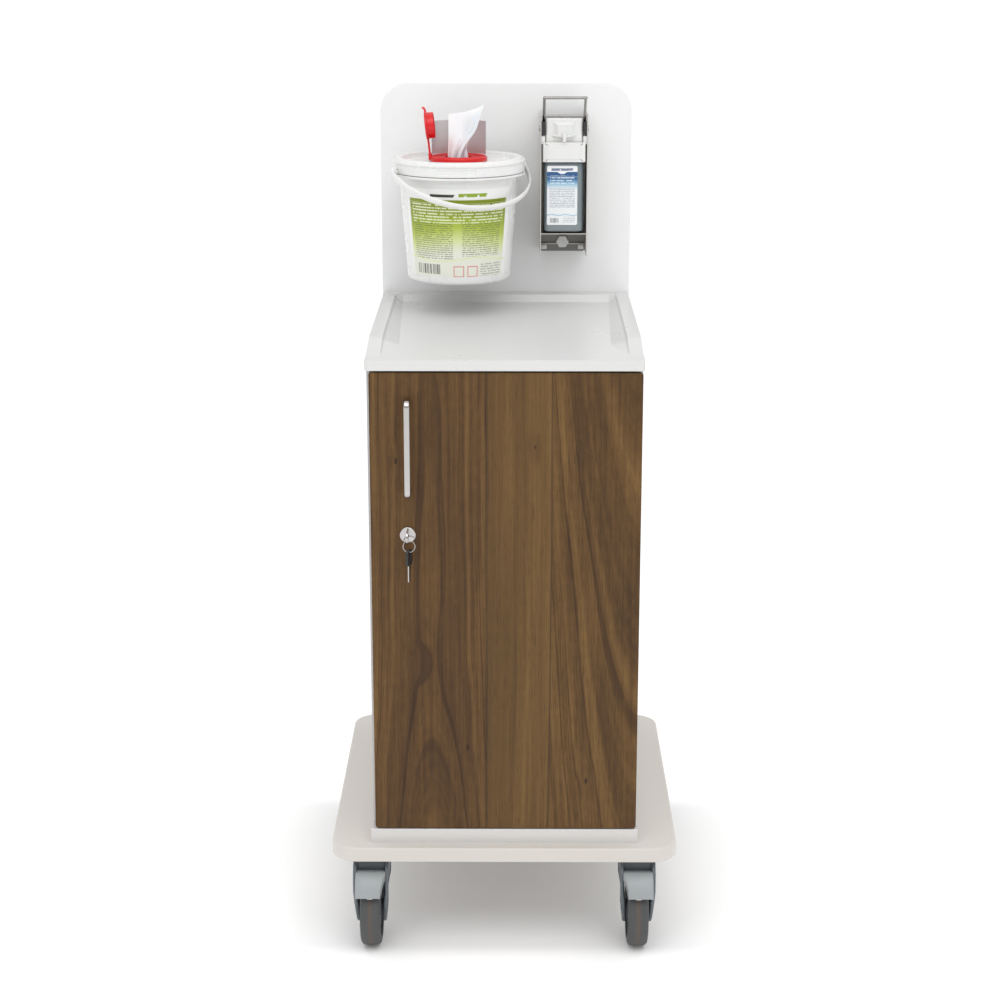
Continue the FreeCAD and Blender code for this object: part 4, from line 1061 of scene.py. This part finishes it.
def side_bushes():
    """Black blocks on the lever's arms beside the pump, and the pale lugs under them."""
    low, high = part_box("dispenser_housing")
    front = low.y
    head_low, head_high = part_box("pump_head")
    blacks, lugs = [], []
    for side, edge, inner in ((-1, low.x, head_low.x), (1, high.x, head_high.x)):
        a, b = sorted((edge + side * -0.0016, inner + side * 0.0009))
        z1 = head_high.z - 0.006
        bush = start_block("guide_block", (a, front - 0.001, z1 - 0.023), (b, front + 0.019, z1))
        round_edges(lambda e: runs(e, 1) and halfway(e).z < z1 - 0.02, 0.0022, 3)
        soften(bush, 0.0006, 2, 35.0)
        blacks.append(bush)
        lug = start_block("guide_lug", (a, front + 0.0015, z1 - 0.0385), (b, front + 0.016, z1 - 0.0245))
        pick("FACE", lambda f: f.normal.y < -0.9)
        inset(0.0008, depth=-0.0006)
        soften(lug, 0.0006, 2, 35.0)
        lugs.append(lug)
    blocks = join(*blacks)
    blocks.name = "guide_blocks"
    finish(blocks, "lever", "black_plastic")
    pale = join(*lugs)
    pale.name = "guide_lugs"
    finish(pale, "lever", "white_plastic")


def clips():
    """Latch knob under the bottle, two foot clips and the bright rail between them."""
    low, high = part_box("dispenser_clips")
    plate_low, plate_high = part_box("dispenser_housing")
    x = (low.x + high.x) / 2
    knob_z = plate_low.z + 0.018
    fresh()
    bpy.ops.mesh.primitive_cylinder_add(vertices=6, radius=0.0118, depth=0.006,
                                        location=(x, high.y - 0.003, knob_z),
                                        rotation=(math.radians(90), math.radians(30), 0))
    knob = shaping("latch_knob")
    pick("VERT", lambda v: v.co.y < high.y - 0.004)
    shift(y=-0.004)
    pick("FACE", lambda f: f.normal.y < -0.9)
    inset(0.0016)
    shift(y=-0.0012)
    soften(knob, 0.0012, 3, 20.0)
    parts = []
    for side in (-1, 1):
        xc = x + side * 0.033
        clip = start_block("foot_clip", (xc - 0.005, low.y, low.z), (xc + 0.005, high.y, low.z + 0.0085))
        round_edges(lambda e: runs(e, 0) and halfway(e).y < low.y + 1e-4 and halfway(e).z > low.z + 0.004,
                    0.003, 3)
        soften(clip, 0.0006, 2, 35.0)
        parts.append(clip)
    join(knob, *parts)
    knob.name = "foot_clips"
    finish(knob, "cabinet", "white_plastic", "dispenser_clips", angle=30.0)
    rail = start_rod("foot_rail", 0.0011, (plate_low.x + 0.002, high.y - 0.008, low.z + 0.0095),
                     (plate_high.x - 0.002, high.y - 0.008, low.z + 0.0095), 20)
    pick("FACE", lambda f: abs(f.normal.x) > 0.9)
    inset(0.0004)
    shaped()
    finish(rail, "cabinet", "steel")


# ---- castors ----
TRAIL = 0.036
TREAD_DEEP = 0.0142


class CastorPlace:
    """Where one castor stands; the rear ones are made facing forwards and turned round."""

    def __init__(self, tag):
        hub_low, hub_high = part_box(tag + "_hub")
        fork_low, fork_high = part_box(tag + "_fork")
        self.tag = tag
        self.x = (fork_low.x + fork_high.x) / 2
        self.axle_y = (hub_low.y + hub_high.y) / 2
        self.face = -1 if self.axle_y < 0 else 1
        self.y = self.axle_y - self.face * TRAIL
        self.top = fork_high.z
        self.axle = (hub_low.z + hub_high.z) / 2
        self.half = (fork_high.x - fork_low.x) / 2
        self.radius = (hub_high.z - hub_low.z) / 2 + TREAD_DEEP

    def side_view(self, points):
        """Points in millimetres from the stem, as (y, z) places."""
        return [(self.y + y / 1000, z / 1000) for y, z in points]

    def flipped(self, obj):
        reopened(obj)
        if self.face > 0:
            turn(180.0, "Z", Vector((self.x, self.y, 0)))
        shaped()


def castor_fork(at):
    """Two arms under a closed hood, and the axle between them."""
    top = at.top * 1000
    arm = [(26, top - 1), (31, 138), (27, 122), (14, 106), (-2, 88), (-14, 66), (-20, 52), (-28, 42.5),
           (-36, 40), (-45, 42), (-53, 49), (-60, 64), (-65.5, 84), (-66.5, 104), (-66, 122), (-62, 138),
           (-52, 149), (-36, top)]
    arms = []
    for side in (-1, 1):
        x0, x1 = sorted((at.x + side * at.half, at.x + side * (at.half - 0.0062)))
        piece = outline("fork_arm", at.side_view(arm), x0, x1)
        pick("VERT", lambda v: v.co.z < 0.100)
        shift(x=-side * 0.0028)
        pick("VERT", lambda v: v.co.z < 0.060)
        shift(x=-side * 0.0020)
        soften(piece, 0.0022, 3, 40.0)
        arms.append(piece)
    hood = [(26, top - 1), (30, 140), (24, 131), (10, 130), (-10, 130), (-40, 131), (-46, 134),
            (-47, 143), (-43, 152), (-30, top)]
    inner = at.half - 0.003
    roof = outline("fork_hood", at.side_view(hood), at.x - inner, at.x + inner)
    soften(roof, 0.0018, 3, 40.0)
    line = at.y - TRAIL
    bar = start_rod("fork_axle", 0.004, (at.x - inner, line, at.axle), (at.x + inner, line, at.axle), 24)
    pick("FACE", lambda f: abs(f.normal.x) > 0.9)
    inset(0.001, use_individual=True)
    shaped()
    body = join(roof, *arms, bar)
    body.name = at.tag + "_fork_moulding"
    at.flipped(body)
    finish(body, at.tag + "_swivel", "grey_plastic", at.tag + "_fork", angle=40.0)


def castor_pedal(at):
    """Curved brake pedal, narrower on its inner side, with its pin and a small catch."""
    wide = 0.049 / 2
    rise = [(-46, 134), (-58, 138.6), (-69, 139.2), (-79, 135.6), (-87, 127.5), (-93, 117), (-96.5, 106),
            (-93, 105.4), (-89.5, 115), (-83, 125), (-76, 131.4), (-68, 134.6), (-58, 134.2), (-46, 129)]
    pedal = outline("pedal_top", at.side_view(rise), at.x - wide, at.x + wide)
    inward = -1 if at.x > 0 else 1
    for x in (-0.020, -0.012, 0.0, 0.012, 0.020):
        slice_at((at.x + x, 0, 0), (1, 0, 0))
    for reach, narrow in ((-0.078, 0.0025), (-0.086, 0.0030), (-0.092, 0.0035)):
        pick("VERT", lambda v: v.co.y < at.y + reach and (v.co.x - at.x) * inward * -at.face > 0.018)
        shift(x=inward * at.face * narrow)
    pick("VERT", lambda v: abs(v.co.x - at.x) < 0.013 and v.co.y < at.y - 0.050)
    shift(y=-0.0012, z=0.0006)
    pick("VERT", lambda v: abs(v.co.x - at.x) > 0.021)
    shift(y=0.0018, z=-0.0012)
    soften(pedal, 0.0011, 3, 40.0)
    catch = start_block("pedal_tab", (at.x - 0.0045, at.y - 0.0955, 0.1045),
                        (at.x + 0.0045, at.y - 0.0930, 0.1110))
    round_edges(lambda e: runs(e, 1) and halfway(e).z < 0.106, 0.001, 2)
    shaped()
    reach = Vector((wide - 0.001, 0, 0))
    hinge = Vector((at.x, at.y - 0.049, 0.1325))
    pin = start_rod("pedal_pin", 0.0035, hinge - reach, hinge + reach, 24)
    pick("FACE", lambda f: abs(f.normal.x) > 0.9)
    inset(0.0008, use_individual=True)
    shaped()
    join(pedal, pin)
    pedal.name = at.tag + "_pedal_moulding"
    at.flipped(pedal)
    finish(pedal, at.tag + "_pedal", "pale_plastic", at.tag + "_pedal", angle=40.0)
    catch.name = at.tag + "_pedal_catch"
    at.flipped(catch)
    finish(catch, at.tag + "_pedal", "steel", angle=35.0)


def castor_tyre(at):
    """Tread band with rounded shoulders and a shallow step each side of its middle."""
    w, r = 0.017, at.radius
    edge = [(w, r - 0.014), (w + 0.0004, r - 0.010), (w - 0.0006, r - 0.005), (w - 0.0026, r - 0.0022),
            (w - 0.0058, r - 0.0008), (0.0062, r - 0.0001), (0.0058, r)]
    tread = [(-x, height) for x, height in edge] + edge[::-1]
    spots = [(at.x + x, at.axle_y, at.axle + height) for x, height in tread + tread[:1]]
    tyre = traced(at.tag + "_tread_band", spots)
    spun((at.x, at.axle_y, at.axle), (1, 0, 0), 96)
    shaped()
    finish(tyre, at.tag + "_wheel", "tyre_rubber", at.tag + "_tyre", angle=50.0,
           material=tyre_rubber(at.tag + "_tread", at.x))


tray()
bucket()
bucket_label()
bail()
lid()
pull_collar()
flap()
wipe()
roll()
bottle()
bottle_label()
pump_cover()
pump_head()
side_bushes()
clips()
for castor_tag in ("fl", "fr", "rl", "rr"):
    place = CastorPlace(castor_tag)
    castor_fork(place)
    castor_pedal(place)
    castor_tyre(place)


# ---- stage ----
FLOOR_GLOW = 0.16


def stage():
    bpy.ops.mesh.primitive_plane_add(size=240.0, location=(0, 5.0, 0))
    floor = bpy.context.active_object
    floor.name = "floor"
    f = Finish("pale_floor")
    haze = f.noise(1.3, 3.0)
    # Painted shadow under the cabinet: in a band under it the floor colour is darkened towards the middle and
    # the floor glow is cut; elsewhere the glow keeps the floor evenly white.
    aside, under = abs(f.at(0)), near(f.at(1) + 5.0, 0.0, 0.315, 0.03)
    painted_shadow = f.step(aside, 0.60, 0.0)
    glow_shadow = f.step(aside, 0.55, 0.28)
    tone = f.mix(haze, (0.93, 0.93, 0.93), (0.96, 0.96, 0.96))
    tone = f.mix(painted_shadow * painted_shadow * under * 0.12, tone, (0, 0, 0))
    glow = f.mix(glow_shadow * under * 0.75, (1, 1, 1), (0, 0, 0))
    f.shader.inputs["Emission Strength"].default_value = FLOOR_GLOW
    f.shader.inputs["Specular IOR Level"].default_value = 0.2
    floor.data.materials.append(f.give(Base_Color=tone, Roughness=0.75 + haze * 0.1, Emission_Color=glow))


def soft_light(name, place, aim, size, power, tint=(1, 1, 1)):
    data = bpy.data.lights.new(name, "AREA")
    data.shape = "RECTANGLE"
    data.size, data.size_y = size
    data.energy = power
    data.color = tint
    lamp = bpy.data.objects.new(name, data)
    scene.collection.objects.link(lamp)
    lamp.location = place
    lamp.rotation_euler = (Vector(aim) - Vector(place)).to_track_quat("-Z", "Y").to_euler()


AIR = ((0.035, 1.0), (0.060, 0.42), (0.700, 1.08), (0.760, 1.10))


def studio_air():
    """Surroundings that are bright overhead, dimmer lower down and white in a thin band at the horizon."""
    world = bpy.data.worlds.new("studio")
    world.use_nodes = True
    tree = world.node_tree
    place = tree.nodes.new("ShaderNodeTexCoord")
    split = tree.nodes.new("ShaderNodeSeparateXYZ")
    ramp = tree.nodes.new("ShaderNodeValToRGB")
    ramp.color_ramp.elements.new(0.5)
    ramp.color_ramp.elements.new(0.6)
    for element, (height, level) in zip(ramp.color_ramp.elements, AIR):
        element.position = height
        element.color = (level, level, level, 1)
    tree.links.new(place.outputs["Generated"], split.inputs[0])
    tree.links.new(split.outputs[2], ramp.inputs[0])
    tree.links.new(ramp.outputs[0], tree.nodes["Background"].inputs[0])
    tree.nodes["Background"].inputs[1].default_value = 1.0
    scene.world = world


def lights_and_camera():
    studio_air()
    soft_light("key", (-0.2, -2.3, 3.6), (0, 0, 0.7), (3.4, 2.2), 40)
    soft_light("fill", (1.6, -2.2, 3.2), (0, 0, 0.7), (1.8, 1.8), 8)
    scene.view_settings.view_transform = "Standard"
    data = bpy.data.cameras.new("view")
    data.sensor_width = 36.0
    data.lens = 77.94
    data.clip_end = 300.0
    cam = bpy.data.objects.new("view", data)
    scene.collection.objects.link(cam)
    cam.location = (0.0127, -3.6053, 1.6811)
    cam.rotation_euler = (math.radians(90 - 15.275), 0, math.radians(0.344))
    scene.camera = cam


stage()
lights_and_camera()
